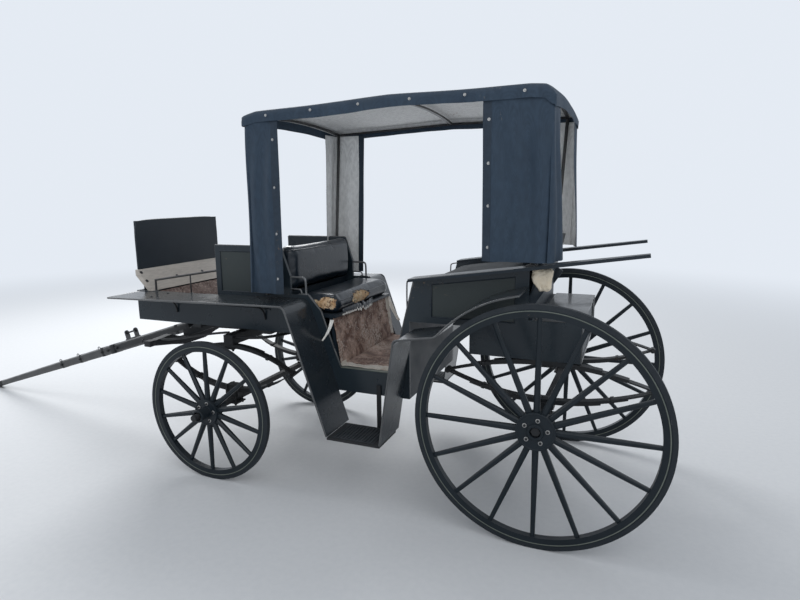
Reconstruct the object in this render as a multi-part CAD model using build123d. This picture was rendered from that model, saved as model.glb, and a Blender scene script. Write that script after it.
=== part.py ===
"""Four-wheeled horse drawn carriage with a canvas top, as it parks with its pole on the ground.

Millimetres. X runs forward, Y to the carriage's left, Z up from the ground. The
carriage is drawn from the rear axle and moved at the end, so that its origin is
on the ground below the middle of its length.
"""
from build123d import *

import os
from math import asin, atan2, cos, degrees, hypot, radians, sin, tan

# Wheels
REAR_WHEEL_R = 610.0
FRONT_WHEEL_R = 434.0
WHEELBASE = 1958.0
WHEEL_Y = 672.0
TYRE_WIDTH = 36.0
TYRE_DEPTH = 22.0
FELLOE_WIDTH = 34.0
FELLOE_DEPTH = 38.0
REAR_SPOKES = 16
FRONT_SPOKES = 14
SPOKE_ROOT = 31.0
SPOKE_TIP = 21.0
HUB_GRIP = 34.0
TREAD_TAPER = 4.0
SEAT_GAP = 0.3

# Hubs and axles
SPINDLE_R = 19.0
RUNNING = 0.05
HUB_INNER = 115.0
HUB_BARREL_R = 42.0
FLANGE_T = 8.0
REAR_FLANGE_R = 95.0
FRONT_FLANGE_R = 82.0
REAR_NOSE = 34.0
FRONT_NOSE = 100.0
NOSE_R = 35.0
NOSE_BORE_R = 27.0
NUT_R = 23.0
NUT_T = 14.0
NUT_CLEAR = 12.0
COLLAR_R = 30.0
COLLAR_T = 9.0
COLLAR_GAP = 1.0
AXLE_SIDE = 34.0
STUB_R = 19.0
FRONT_STUB = 34.0

# Elliptic springs
LEAF_W = 45.0
LEAF_T = 8.0
LEAVES = 3
LEAF_STEP = 0.24
EYE_R = 15.0
REAR_SPRING_Y = 395.0
REAR_SPRING_LENGTH = 1045.0
REAR_SPRING_EYE_Z = 775.0
FRONT_SPRING_Y = 420.0
FRONT_SPRING_LENGTH = 900.0
FRONT_SPRING_EYE_Z = 645.0
PAD_LENGTH = 96.0
PAD_WIDTH = 62.0

# Body
HALF_WIDTH = 420.0
PANEL = 20.0
BOARD = 18.0
BOX_FRONT_X = 2720.0
BOX_BOTTOM_Z = 900.0
BOX_TOP_Z = 1100.0
SEAT_SIDE_X = 2040.0
SEAT_SIDE_TOP_Z = 1420.0
SEAT_SIDE_REAR_X = 1560.0
BULKHEAD_X = 1500.0
CHEEK_TOP_Z = 1140.0
CHEEK_X = 1380.0
DOOR_FRONT = ((1300.0, 1050.0), (1220.0, 830.0))
SILL_FRONT_X = 1180.0
SILL_REAR_X = 840.0
SILL_TOP_Z = 720.0
WELL_BOTTOM_Z = 580.0
WELL_TOE_X = 1450.0
WELL_FRONT_X = 1262.0
WELL_REAR_X = 742.0
DOOR_REAR = (790.0, 950.0)
QUARTER_X = 715.0
RAIL_FRONT_Z = 1262.0
RAIL_SLOPE = 7.84
QUARTER_REAR_X = 95.0
QUARTER_BOTTOM_Z = 1030.0
BOOT_REAR_X = -170.0
BOOT_FRONT_X = 400.0
BOOT_TOP_Z = 1085.0
BOOT_BOTTOM_Z = 880.0
RECESS = 5.0
RECESS_EDGE = 34.0
BEAD = 8.0
BEAD_Z = 1032.0
BEAD_REAR = 200.0
BEAD_FRONT = 150.0
SEAT_SHOULDER = 110.0

# Seats
DRIVER_SEAT_Z = 1250.0
DRIVER_CUSHION_T = 85.0
BACKREST_T = 122.0
BACKREST_TOP_Z = 1438.0
GUEST_SEAT_Z = 1028.0
GUEST_CUSHION_T = 112.0
GUEST_SEAT_X = 1192.0
REAR_SEAT_Z = 1200.0
REAR_CUSHION_T = 100.0
REAR_BACK_T = 92.0
REAR_BACK_TOP_Z = 1472.0
REAR_BACK_LEAN = 62.0
SOFT_GAP = 0.3
HIDE_T = 6.0

# Dash and toe board
DASH_T = 18.0
DASH_HALF = 398.0
DASH_BOTTOM_Z = 1238.0
DASH_TOP_Z = 1562.0
TOE_T = 24.0
TOE_REAR_X = 2598.0
DASH_IRON_W = 26.0
DASH_IRON_T = 8.0
DASH_IRON_FOOT = 120.0
DASH_IRON_SHORT = 60.0
DASH_IRON_IN = 60.0

# Wings and steps
WING_OUT_Y = 685.0
WING_T = 8.0
WING_FRONT_X = 2690.0
WING_BEND_X = 1382.0
WING_REAR_Z = 1118.0
WING_FOOT_X = 1135.0
STEP_Z = 397.0
STEP_T = 12.0
STEP_IN_Y = 455.0
REAR_WING_FOOT_X = 815.0
REAR_WING_KNEE = (728.0, 985.0)
REAR_WING_SHELF_Z = 1022.0
WING_CLEAR = 36.0
ARCH_START = 44.0
HANGER_X = 930.0
HANGER_W = 26.0
HANGER_T = 10.0
STAY_W = 22.0
STAY_DROP = 50.0
STAY_X = (2400.0, 1700.0)
STAY_SHORT = 60.0
ARCH_END = 81.5

# Top rails and hand rails
RAIL_T = 16.0
RAIL_IN_Y = 400.0
RAIL_OUT_Y = 505.0
RAIL_TIP_Y = 450.0
RAIL_LENGTH = 1180.0
TUBE_R = 7.0
HAND_RAIL_X = 2558.0
HAND_RAIL_KNEE = 75.0
HAND_RAIL_RISE = 160.0

# Front gear
BOLSTER_X = 70.0
BOLSTER_HALF = 452.0
BOLSTER_BOTTOM_Z = 795.0
BOLSTER_TOP_Z = 856.0
RING_R = 270.0
RING_W = 40.0
RING_T = 11.7
RING_GAP = 0.3
KING_PIN_R = 14.0
FUTCHELL_T = 30.0
FUTCHELL_GAP = 3.0
FUTCHELL_RISE = 32.0
FUTCHELL_NOSE = 40.0
SPLINTER_X = 2662.0
SPLINTER_HALF = 430.0
SPLINTER_W = 50.0
SPLINTER_H = 55.0
SPLINTER_END_H = 26.0
SPLINTER_TOP_Z = 708.0
SPLINTER_FLAT = 110.0
SPLINTER_LIFT = 46.0
TRACE_HOLE_R = 6.5
TRACE_HOLE_Y = 400.0

# Pole
POLE_PIVOT_X = 2500.0
POLE_PIVOT_Z = 822.0
POLE_LENGTH = 2638.0
POLE_STUB = 45.0
POLE_W = 60.0
POLE_H = 72.0
POLE_TIP_W = 46.0
POLE_TIP_H = 44.0
POLE_BUTT = 1100.0
POLE_PIN_R = 9.0
PIN_HEAD_R = 15.0
PIN_HEAD_T = 7.0
BRACE_EYE_Y = 200.0
BRACE_EYE_W = 24.0
BRACE_T = 8.0
BRACE_H = 28.0
BRACE_REACH = 940.0
BRACE_LAP = 90.0
EVENER_X = 790.0
EVENER_HOLE_R = 9.5

# Canopy
CANOPY_FRONT_X = 1692.0
CANOPY_REAR_X = -22.0
CANOPY_HALF = 555.0
CANOPY_TOP_Z = 2208.0
CANOPY_FALL = 2.2
CANOPY_REAR_CUT = 48.0
CANOPY_CROWN = 34.0
VALANCE = 66.0
CLOTH = 4.0
TUBE_BOW_R = 10.0
BOW_W = 20.0
BOW_T = 12.0
FRONT_POST_X = 1655.0
FRONT_POST_Z = 1130.0
REAR_POST_FOOT_X = 80.0
REAR_POST_TOP_X = 48.0
RAIL_FOOT_OUT = 30.0
MID_BOW_X = 800.0
FRONT_CURTAIN = (232.0, 175.0)
FRONT_CURTAIN_Z = 1180.0
REAR_CURTAIN = (330.0, 280.0)
REAR_CURTAIN_Z = 1388.0

parts = {}


def board(x, y, z):
    """A square-edged board between low and high limits on each axis."""
    centre = [(low + high) / 2 for low, high in (x, y, z)]
    size = [high - low for low, high in (x, y, z)]
    return Pos(*centre) * Box(*size)


def side_face(points):
    """A flat face in the upright plane along the carriage, from its (x, z) corners."""
    return Plane.XZ * make_face(Polyline(*points, close=True))


def across(face, y_low, y_high):
    """Stretch an upright lengthwise face across the carriage."""
    return Pos(0, y_low, 0) * extrude(face, amount=y_high - y_low, dir=(0, 1, 0))


def plate(points, y_low, y_high):
    """A plate cut to (x, z) corners, standing lengthwise."""
    return across(side_face(points), y_low, y_high)


def strip(path, thickness, y_low, y_high):
    """A bent sheet that follows a lengthwise path, given in (x, z)."""
    return across(Plane.XZ * trace(path, line_width=thickness), y_low, y_high)


def rod(start, end, radius):
    """A round bar between two points."""
    line = Line(start, end)
    return sweep(Plane(origin=line @ 0, z_dir=line % 0) * Circle(radius), path=line)


def tube(points, radius):
    """A round rail through a row of points, mitred where it bends."""
    path = Polyline(*points)
    return sweep(Plane(origin=path @ 0, z_dir=path % 0) * Circle(radius), path=path, transition=Transition.RIGHT)


def disc(radius, y_low, y_high):
    """A round on the cross axis, between two distances from the middle."""
    return Pos(0, y_low, 0) * extrude(Plane.XZ * Circle(radius), amount=y_high - y_low, dir=(0, 1, 0))


def pair(name, left):
    """Keep a left-hand piece and its mirror image on the right."""
    parts[f"{name}_left"] = left
    parts[f"{name}_right"] = mirror(left, about=Plane.XZ)


def both(name, left):
    """Keep a left-hand piece and its mirror image as one sub-part, for like pieces of one body."""
    parts[name] = Compound(children=[left, mirror(left, about=Plane.XZ)])


def spoke(root_r, tip_r):
    """One spoke with broken edges, thick at the hub and tapered to the rim."""
    taper = degrees(atan2((SPOKE_ROOT - SPOKE_TIP) / 2, tip_r - root_r))
    outline = chamfer(Rectangle(SPOKE_ROOT, SPOKE_ROOT).vertices(), SPOKE_ROOT / 4)
    return extrude(Pos(0, 0, root_r) * outline, amount=tip_r - root_r, taper=taper)


def hub(flange_r, nose):
    """Turned hub on the cross axis, with the flange that clamps the spokes."""
    bore = SPINDLE_R + RUNNING
    flange = HUB_GRIP / 2 + FLANGE_T
    seat = nose - NUT_T - NUT_CLEAR
    section = Plane.XY * make_face(Polyline(
        (bore, -HUB_INNER), (HUB_BARREL_R, -HUB_INNER), (HUB_BARREL_R, -flange), (flange_r, -flange),
        (flange_r, flange), (NOSE_R, flange), (NOSE_R, nose), (NOSE_BORE_R, nose), (NOSE_BORE_R, seat),
        (bore, seat), close=True))
    return revolve(section, axis=Axis.Y)


def wheel(radius, count, flange_r, nose):
    """Hub, spokes and felloe of one wheel."""
    rim_out = radius - TYRE_DEPTH - SEAT_GAP
    rim_in = rim_out - FELLOE_DEPTH
    half = FELLOE_WIDTH / 2
    felloe = make_face(Polyline((rim_in, -half), (rim_out, -half), (rim_out, half), (rim_in, half), close=True))
    one = spoke(flange_r - 5, rim_in + 4)
    turns = [Rot(0, 360 / count * i, 0) for i in range(count)]
    return revolve(felloe, axis=Axis.Y) + hub(flange_r, nose) + [turn * one for turn in turns]


def tyre(radius):
    """Solid tyre, a little narrower at its tread."""
    half = TYRE_WIDTH / 2
    tread = half - TREAD_TAPER
    section = make_face(Polyline(
        (radius - TYRE_DEPTH, -half), (radius, -tread), (radius, tread), (radius - TYRE_DEPTH, half), close=True))
    return revolve(section, axis=Axis.Y)


def axle(x, z, nose, stub):
    """Square axle with a collar, a turned spindle, a nut and any stub beyond the hub at each end."""
    shoulder = WHEEL_Y - HUB_INNER - COLLAR_GAP - COLLAR_T
    bar = board((x - AXLE_SIDE / 2, x + AXLE_SIDE / 2), (-shoulder, shoulder),
                (z - AXLE_SIDE / 2, z + AXLE_SIDE / 2))
    seat = WHEEL_Y + nose - NUT_T - NUT_CLEAR
    arm = disc(COLLAR_R, shoulder - 0.5, shoulder + COLLAR_T)
    arm += disc(SPINDLE_R, shoulder, seat + 2)
    nut = RegularPolygon(NUT_R, 6)
    arm += Pos(0, seat + 2, 0) * extrude(Plane.XZ * nut, amount=NUT_T, dir=(0, 1, 0))
    if stub:
        arm += disc(STUB_R, seat + NUT_T, WHEEL_Y + nose + stub)
    arm = Pos(x, 0, z) * arm
    return bar + arm + mirror(arm, about=Plane.XZ)


def leaf_half(length, eye_z, peak_z):
    """A stack of bowed leaves from eye to eye, the longest one carrying the eyes."""
    rise = peak_z - eye_z
    out = 1 if rise > 0 else -1
    stack = None
    for i in range(LEAVES):
        reach = length / 2 * (1 - LEAF_STEP * i)
        middle = peak_z - out * LEAF_T * (LEAVES - 0.5 - i)
        lift = out * LEAF_T * i
        sag = (peak_z - out * LEAF_T * (LEAVES - 0.5) - eye_z) * (1 - (reach * 2 / length) ** 2)
        end_z = eye_z + lift + sag
        arc = ThreePointArc((-reach, end_z), (0, middle), (reach, end_z))
        leaf = strip(arc, LEAF_T, -LEAF_W / 2, LEAF_W / 2)
        stack = leaf if stack is None else stack + leaf
    return stack


def elliptic_spring(length, eye_z, low_z, high_z):
    """Full elliptic spring: two bowed halves joined at their eyes."""
    spring = leaf_half(length, eye_z, low_z) + leaf_half(length, eye_z, high_z)
    for end in (-length / 2, length / 2):
        spring += Pos(end, 0, eye_z) * disc(EYE_R, -LEAF_W / 2, LEAF_W / 2)
    return spring


def rail_z(x):
    """Height of the quarter panel's sloping top edge."""
    return RAIL_FRONT_Z + (QUARTER_X - x) * sin(radians(RAIL_SLOPE)) / cos(radians(RAIL_SLOPE))


def recess(points):
    """The sunk field of a panel on the outer face of the left side."""
    return plate(points, HALF_WIDTH - RECESS, HALF_WIDTH + 1)


# Wheels with their tyres, and the axles
for end, radius, count, flange_r, nose, stub, x in (
    ("rear", REAR_WHEEL_R, REAR_SPOKES, REAR_FLANGE_R, REAR_NOSE, 0.0, 0.0),
    ("front", FRONT_WHEEL_R, FRONT_SPOKES, FRONT_FLANGE_R, FRONT_NOSE, FRONT_STUB, WHEELBASE),
):
    place = Pos(x, WHEEL_Y, radius)
    pair(f"{end}_wheel", place * wheel(radius, count, flange_r, nose))
    pair(f"{end}_tyre", place * tyre(radius))
    parts[f"{end}_axle"] = axle(x, radius, nose, stub)

# Springs stand on pads on the axles
rear_pad_z = REAR_WHEEL_R + AXLE_SIDE / 2
rear_spring_low = rear_pad_z + 24
rear_spring = elliptic_spring(REAR_SPRING_LENGTH, REAR_SPRING_EYE_Z, rear_spring_low, BOOT_BOTTOM_Z)
rear_spring += board((-PAD_LENGTH / 2, PAD_LENGTH / 2), (-PAD_WIDTH / 2, PAD_WIDTH / 2),
                     (rear_pad_z, rear_spring_low + LEAF_T))
both("rear_springs", Pos(0, REAR_SPRING_Y, 0) * rear_spring)

front_pad_z = FRONT_WHEEL_R + AXLE_SIDE / 2
front_spring_low = front_pad_z + 34
front_spring = elliptic_spring(FRONT_SPRING_LENGTH, FRONT_SPRING_EYE_Z, front_spring_low, BOLSTER_BOTTOM_Z)
front_spring += board((-PAD_LENGTH / 2, PAD_LENGTH / 2), (-PAD_WIDTH / 2, PAD_WIDTH / 2),
                      (front_pad_z, front_spring_low + LEAVES * LEAF_T + 14))
both("front_springs", Pos(WHEELBASE, FRONT_SPRING_Y, 0) * front_spring)

# Front gear: bolster, turntable, futchells and splinter bar
bolster = board((WHEELBASE - BOLSTER_X / 2, WHEELBASE + BOLSTER_X / 2), (-BOLSTER_HALF, BOLSTER_HALF),
                (BOLSTER_BOTTOM_Z, BOLSTER_TOP_Z))
bolster -= Pos(WHEELBASE, 0, BOLSTER_BOTTOM_Z) * Cylinder(KING_PIN_R + RUNNING, 200)
lower_ring_top = BOLSTER_TOP_Z + RING_T
ring = Cylinder(RING_R + RING_W / 2, RING_T) - Cylinder(RING_R - RING_W / 2, RING_T)
parts["front_bolster"] = bolster + Pos(WHEELBASE, 0, BOLSTER_TOP_Z + RING_T / 2) * ring

upper_ring_z = lower_ring_top + RING_GAP
upper = Pos(WHEELBASE, 0, upper_ring_z + RING_T / 2) * ring
upper += board((WHEELBASE - 40, WHEELBASE + 40), (-RING_R, RING_R), (upper_ring_z, upper_ring_z + RING_T))
pin_bottom = BOLSTER_BOTTOM_Z - 16
pin_height = upper_ring_z + RING_T - pin_bottom
upper += Pos(WHEELBASE, 0, pin_bottom + pin_height / 2) * Cylinder(KING_PIN_R, pin_height)

bearer_z = (upper_ring_z + RING_T, BOX_BOTTOM_Z)
for x in (WHEELBASE + RING_R, WHEELBASE - RING_R):
    upper += board((x - 30, x + 30), (-HALF_WIDTH, HALF_WIDTH), bearer_z)
parts["fifth_wheel_upper"] = upper

futchell_y = POLE_W / 2 + FUTCHELL_GAP
bolster_face = WHEELBASE + BOLSTER_X / 2
splinter_back = SPLINTER_X - SPLINTER_W / 2
futchell = plate([
    (bolster_face, BOLSTER_BOTTOM_Z),
    (bolster_face, BOLSTER_TOP_Z),
    (WHEELBASE + RING_R + RING_W / 2 + 30, BOLSTER_TOP_Z),
    (POLE_PIVOT_X - FUTCHELL_NOSE, POLE_PIVOT_Z + FUTCHELL_RISE),
    (POLE_PIVOT_X + FUTCHELL_NOSE, POLE_PIVOT_Z + FUTCHELL_RISE),
    (splinter_back, SPLINTER_TOP_Z + 2 * FUTCHELL_RISE),
    (SPLINTER_X + SPLINTER_W / 2, SPLINTER_TOP_Z + FUTCHELL_NOSE),
    (SPLINTER_X + SPLINTER_W / 2, SPLINTER_TOP_Z),
    (splinter_back - 10, SPLINTER_TOP_Z),
    (POLE_PIVOT_X - 90, BOLSTER_BOTTOM_Z - 10),
], futchell_y, futchell_y + FUTCHELL_T)
pin_y = BRACE_EYE_Y + BRACE_EYE_W / 2 + COLLAR_GAP
pin_place = Pos(POLE_PIVOT_X, 0, POLE_PIVOT_Z)
both("futchells", futchell - pin_place * disc(POLE_PIN_R + SEAT_GAP, 0, pin_y))

splinter_bottom = SPLINTER_TOP_Z - SPLINTER_H
splinter_knee = (SPLINTER_FLAT + 120, SPLINTER_TOP_Z + SPLINTER_LIFT)
half_bar = [(0, splinter_bottom), (SPLINTER_FLAT, splinter_bottom), (splinter_knee[0], splinter_bottom + SPLINTER_LIFT * 0.6),
            (SPLINTER_HALF, splinter_knee[1] - SPLINTER_END_H - 12), (SPLINTER_HALF, splinter_knee[1] - 12),
            splinter_knee, (SPLINTER_FLAT, SPLINTER_TOP_Z)]
bar_outline = half_bar + [(-y, z) for y, z in reversed(half_bar[1:])]
splinter = Pos(splinter_back, 0, 0) * extrude(
    Plane.YZ * make_face(Polyline(*bar_outline, close=True)), amount=SPLINTER_W, dir=(1, 0, 0))
trace_z = splinter_knee[1] - 12 - SPLINTER_END_H / 2
for y in (-TRACE_HOLE_Y, TRACE_HOLE_Y):
    splinter -= Pos(SPLINTER_X, y, trace_z) * Rot(0, 90, 0) * Cylinder(TRACE_HOLE_R, 90)
parts["splinter_bar"] = splinter

head = disc(PIN_HEAD_R, pin_y, pin_y + PIN_HEAD_T)
pole_pin = disc(POLE_PIN_R, -pin_y, pin_y) + head + mirror(head, about=Plane.XZ)
parts["pole_pin"] = pin_place * pole_pin

# Pole, drawn level along X from its pin and then dropped until its tip meets the ground
drop = asin(POLE_PIVOT_Z / hypot(POLE_LENGTH, POLE_TIP_H / 2)) - atan2(POLE_TIP_H / 2, POLE_LENGTH)
pole_place = pin_place * Rot(0, degrees(drop), 0)


def pole_section(x, width, height):
    """The pole's section at a distance from its pin, with broken corners."""
    outline = chamfer(Rectangle(width, height).vertices(), width / 6)
    return Plane(origin=(x, 0, 0), x_dir=(0, 1, 0), z_dir=(1, 0, 0)) * outline


butt = extrude(pole_section(-POLE_STUB, POLE_W, POLE_H), amount=POLE_STUB + POLE_BUTT)
taper = loft(Sketch() + [pole_section(POLE_BUTT, POLE_W, POLE_H), pole_section(POLE_LENGTH, POLE_TIP_W, POLE_TIP_H)])
pole = butt + taper
pole -= disc(POLE_PIN_R + RUNNING, -POLE_W, POLE_W)
lug = board((EVENER_X - 62, EVENER_X + 62), (-POLE_W / 3, POLE_W / 3), (POLE_H / 2, POLE_H / 2 + 9))
for x in (EVENER_X - 56, EVENER_X + 44):
    lug += board((x, x + 12), (-18, 18), (POLE_H / 2 + 9, POLE_H / 2 + 58))
pole += lug
pole -= Pos(EVENER_X, 0, 0) * Cylinder(EVENER_HOLE_R, 3 * POLE_H)
parts["pole"] = pole_place * pole

brace_face = POLE_W / 2
brace = Plane.XY * make_face(Polyline(
    (0, BRACE_EYE_Y - BRACE_T / 2), (BRACE_REACH, brace_face), (BRACE_REACH + BRACE_LAP, brace_face),
    (BRACE_REACH + BRACE_LAP, brace_face + BRACE_T), (BRACE_REACH, brace_face + BRACE_T),
    (0, BRACE_EYE_Y + BRACE_T / 2), close=True))
brace = Pos(0, 0, -BRACE_H / 2) * extrude(brace, amount=BRACE_H)
brace += disc(POLE_PIN_R + 9, BRACE_EYE_Y - BRACE_EYE_W / 2, BRACE_EYE_Y + BRACE_EYE_W / 2)
brace -= disc(POLE_PIN_R + RUNNING, BRACE_EYE_Y - BRACE_EYE_W, BRACE_EYE_Y + BRACE_EYE_W)
parts["pole_braces"] = Compound(children=[pole_place * brace, pole_place * mirror(brace, about=Plane.XZ)])

# Body sides: one shaped plate each, dropped in the middle for the entrance
rail_rear_z = rail_z(QUARTER_REAR_X)
outline = [
    (BOX_FRONT_X, BOX_BOTTOM_Z),
    (BOX_FRONT_X, BOX_TOP_Z),
    (SEAT_SIDE_X, BOX_TOP_Z),
    (SEAT_SIDE_X, SEAT_SIDE_TOP_Z),
    (SEAT_SIDE_REAR_X, SEAT_SIDE_TOP_Z),
    (BULKHEAD_X, CHEEK_TOP_Z + SEAT_SHOULDER),
    (BULKHEAD_X, CHEEK_TOP_Z),
    (CHEEK_X, CHEEK_TOP_Z),
    DOOR_FRONT[0],
    DOOR_FRONT[1],
    (SILL_FRONT_X, SILL_TOP_Z),
    (SILL_REAR_X, SILL_TOP_Z),
    DOOR_REAR,
    (QUARTER_X, RAIL_FRONT_Z),
    (QUARTER_REAR_X, rail_rear_z),
    (QUARTER_REAR_X, BOOT_TOP_Z),
    (BOOT_REAR_X, BOOT_TOP_Z),
    (BOOT_REAR_X, BOOT_BOTTOM_Z),
    (BOOT_FRONT_X, BOOT_BOTTOM_Z),
    (BOOT_FRONT_X, QUARTER_BOTTOM_Z),
    (WELL_REAR_X, QUARTER_BOTTOM_Z),
    (WELL_REAR_X, WELL_BOTTOM_Z),
    (WELL_FRONT_X, WELL_BOTTOM_Z),
    (WELL_TOE_X, BOX_BOTTOM_Z),
]
side = plate(outline, HALF_WIDTH - PANEL, HALF_WIDTH)
side -= recess([
    (SEAT_SIDE_X - RECESS_EDGE, BOX_TOP_Z + RECESS_EDGE),
    (SEAT_SIDE_X - RECESS_EDGE, SEAT_SIDE_TOP_Z - RECESS_EDGE),
    (SEAT_SIDE_REAR_X + RECESS_EDGE, SEAT_SIDE_TOP_Z - RECESS_EDGE),
    (SEAT_SIDE_REAR_X + RECESS_EDGE, BOX_TOP_Z + RECESS_EDGE),
])
recess_x = QUARTER_X - 3 * RECESS_EDGE
side -= recess([
    (recess_x, QUARTER_BOTTOM_Z + RECESS_EDGE),
    (recess_x, rail_z(recess_x) - RECESS_EDGE),
    (QUARTER_REAR_X + 2 * RECESS_EDGE, rail_z(QUARTER_REAR_X + 2 * RECESS_EDGE) - RECESS_EDGE),
    (QUARTER_REAR_X + 2 * RECESS_EDGE, QUARTER_BOTTOM_Z + RECESS_EDGE),
])
side += board((WELL_TOE_X + BEAD_REAR, BOX_FRONT_X - BEAD_FRONT), (HALF_WIDTH, HALF_WIDTH + BEAD), (BEAD_Z, BEAD_Z + BEAD))
pair("body_side", side)

# Cross boards between the sides
inner = HALF_WIDTH - PANEL
width = (-inner, inner)
floor_top = BOX_BOTTOM_Z + BOARD
parts["footwell_floor"] = (
    board((WELL_TOE_X, BOX_FRONT_X), width, (BOX_BOTTOM_Z, floor_top))
    + board((BOX_FRONT_X - PANEL, BOX_FRONT_X), width, (floor_top, BOX_TOP_Z)))

riser_x = SEAT_SIDE_X - 20
parts["driver_seat_box"] = (
    board((riser_x - BOARD, riser_x), width, (floor_top, DRIVER_SEAT_Z - BOARD))
    + board((BULKHEAD_X + BACKREST_T, riser_x), width, (DRIVER_SEAT_Z - BOARD, DRIVER_SEAT_Z)))
bulkhead_mid = BULKHEAD_X + BACKREST_T / 2

guest_front = GUEST_SEAT_X + 20
seat_bottom = GUEST_SEAT_Z - BOARD
riser_top = guest_front + 24
riser_foot = SILL_FRONT_X + 10
parts["guest_seat_box"] = (
    board((guest_front, bulkhead_mid), width, (seat_bottom, GUEST_SEAT_Z))
    + board((bulkhead_mid - BOARD / 2, bulkhead_mid + BOARD / 2), width, (floor_top, CHEEK_TOP_Z))
    + plate([(riser_top, seat_bottom), (riser_top + BOARD, seat_bottom),
             (riser_foot + BOARD, SILL_TOP_Z), (riser_foot, SILL_TOP_Z)], *width))
toe_run = WELL_TOE_X - WELL_FRONT_X
toe_rise = BOX_BOTTOM_Z - WELL_BOTTOM_Z
toe_slant = BOARD * hypot(toe_run, toe_rise) / toe_rise
floor_front = WELL_FRONT_X + toe_run * (SILL_TOP_Z - BOARD - WELL_BOTTOM_Z) / toe_rise - toe_slant
parts["entrance_well"] = (
    plate([(WELL_FRONT_X, WELL_BOTTOM_Z), (WELL_TOE_X, BOX_BOTTOM_Z),
           (WELL_TOE_X - toe_slant, BOX_BOTTOM_Z), (WELL_FRONT_X - toe_slant, WELL_BOTTOM_Z)], *width)
    + board((WELL_REAR_X + BOARD, floor_front + toe_slant / 2), width, (SILL_TOP_Z - BOARD, SILL_TOP_Z))
    + board((WELL_REAR_X, WELL_REAR_X + BOARD), width, (WELL_BOTTOM_Z, QUARTER_BOTTOM_Z)))

seat_under = REAR_SEAT_Z - BOARD
floor_z = QUARTER_BOTTOM_Z + BOARD
seat_front = QUARTER_X - 8
back_foot = QUARTER_REAR_X - BOARD
parts["rear_seat_box"] = (
    board((BOOT_FRONT_X, WELL_REAR_X + BOARD), width, (QUARTER_BOTTOM_Z, floor_z))
    + plate([(WELL_REAR_X, floor_z), (WELL_REAR_X + BOARD, floor_z),
             (seat_front + BOARD, seat_under), (seat_front, seat_under)], *width)
    + board((QUARTER_REAR_X, seat_front + BOARD), width, (seat_under, REAR_SEAT_Z))
    + plate([(back_foot, BOOT_TOP_Z), (QUARTER_REAR_X, BOOT_TOP_Z), (QUARTER_REAR_X, REAR_SEAT_Z),
             (QUARTER_REAR_X - REAR_BACK_LEAN, REAR_BACK_TOP_Z), (back_foot - REAR_BACK_LEAN, REAR_BACK_TOP_Z),
             (back_foot, REAR_SEAT_Z)], *width))
parts["boot"] = (
    board((BOOT_REAR_X, BOOT_FRONT_X), width, (BOOT_BOTTOM_Z, BOOT_BOTTOM_Z + BOARD))
    + board((BOOT_REAR_X, BOOT_REAR_X + BOARD), width, (BOOT_BOTTOM_Z, BOOT_TOP_Z))
    + board((BOOT_REAR_X + BOARD, QUARTER_REAR_X), width, (BOOT_TOP_Z - BOARD, BOOT_TOP_Z))
    + board((BOOT_FRONT_X - BOARD, BOOT_FRONT_X), width, (BOOT_BOTTOM_Z, floor_z)))

# Dash on its sloping toe board, held by two irons
toe_front = BOX_FRONT_X - PANEL
toe_board = plate([
    (BOX_FRONT_X, DASH_BOTTOM_Z), (BOX_FRONT_X, DASH_BOTTOM_Z - TOE_T * 1.6),
    (TOE_REAR_X + TOE_T, BOX_TOP_Z), (TOE_REAR_X - TOE_T * 0.4, BOX_TOP_Z),
    (toe_front, DASH_BOTTOM_Z)], -HALF_WIDTH, HALF_WIDTH)
parts["toe_board"] = toe_board
dash_x = (BOX_FRONT_X - DASH_T, BOX_FRONT_X)
dash = board(dash_x, (-DASH_HALF, DASH_HALF), (DASH_BOTTOM_Z, DASH_TOP_Z))
iron = board((BOX_FRONT_X, BOX_FRONT_X + DASH_IRON_T), (-DASH_IRON_W / 2, DASH_IRON_W / 2),
             (BOX_TOP_Z - DASH_IRON_FOOT, DASH_TOP_Z - DASH_IRON_SHORT))
for y in (-DASH_HALF + DASH_IRON_IN, DASH_HALF - DASH_IRON_IN):
    dash += Pos(0, y, 0) * iron
parts["dash"] = dash

# Cushions and the hide linings
soft = (-inner + SOFT_GAP, inner - SOFT_GAP)
parts["driver_cushion"] = fillet(
    board((BULKHEAD_X + BACKREST_T + 1, riser_x + 8), soft,
          (DRIVER_SEAT_Z + SOFT_GAP, DRIVER_SEAT_Z + DRIVER_CUSHION_T)).edges().filter_by(Axis.Y), 20)
parts["backrest"] = fillet(
    board((BULKHEAD_X, BULKHEAD_X + BACKREST_T), soft,
          (CHEEK_TOP_Z + SOFT_GAP, BACKREST_TOP_Z)).edges().filter_by(Axis.Y).group_by(Axis.Z)[-1], 45)
parts["guest_cushion"] = fillet(
    board((GUEST_SEAT_X, BULKHEAD_X - 1), soft,
          (GUEST_SEAT_Z + SOFT_GAP, GUEST_SEAT_Z + GUEST_CUSHION_T)).edges().filter_by(Axis.Y), 24)
rear_cushion_x = (QUARTER_REAR_X + REAR_BACK_T + 6, QUARTER_X)
parts["rear_cushion"] = fillet(
    board(rear_cushion_x, soft,
          (REAR_SEAT_Z + SOFT_GAP, REAR_SEAT_Z + REAR_CUSHION_T)).edges().filter_by(Axis.Y), 24)
lean_z = REAR_SEAT_Z + SOFT_GAP
parts["rear_back_pad"] = plate([
    (QUARTER_REAR_X + SOFT_GAP, lean_z), (QUARTER_REAR_X + REAR_BACK_T, lean_z),
    (QUARTER_REAR_X + REAR_BACK_T - REAR_BACK_LEAN, REAR_BACK_TOP_Z),
    (QUARTER_REAR_X + SOFT_GAP - REAR_BACK_LEAN, REAR_BACK_TOP_Z)], *soft)

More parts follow.
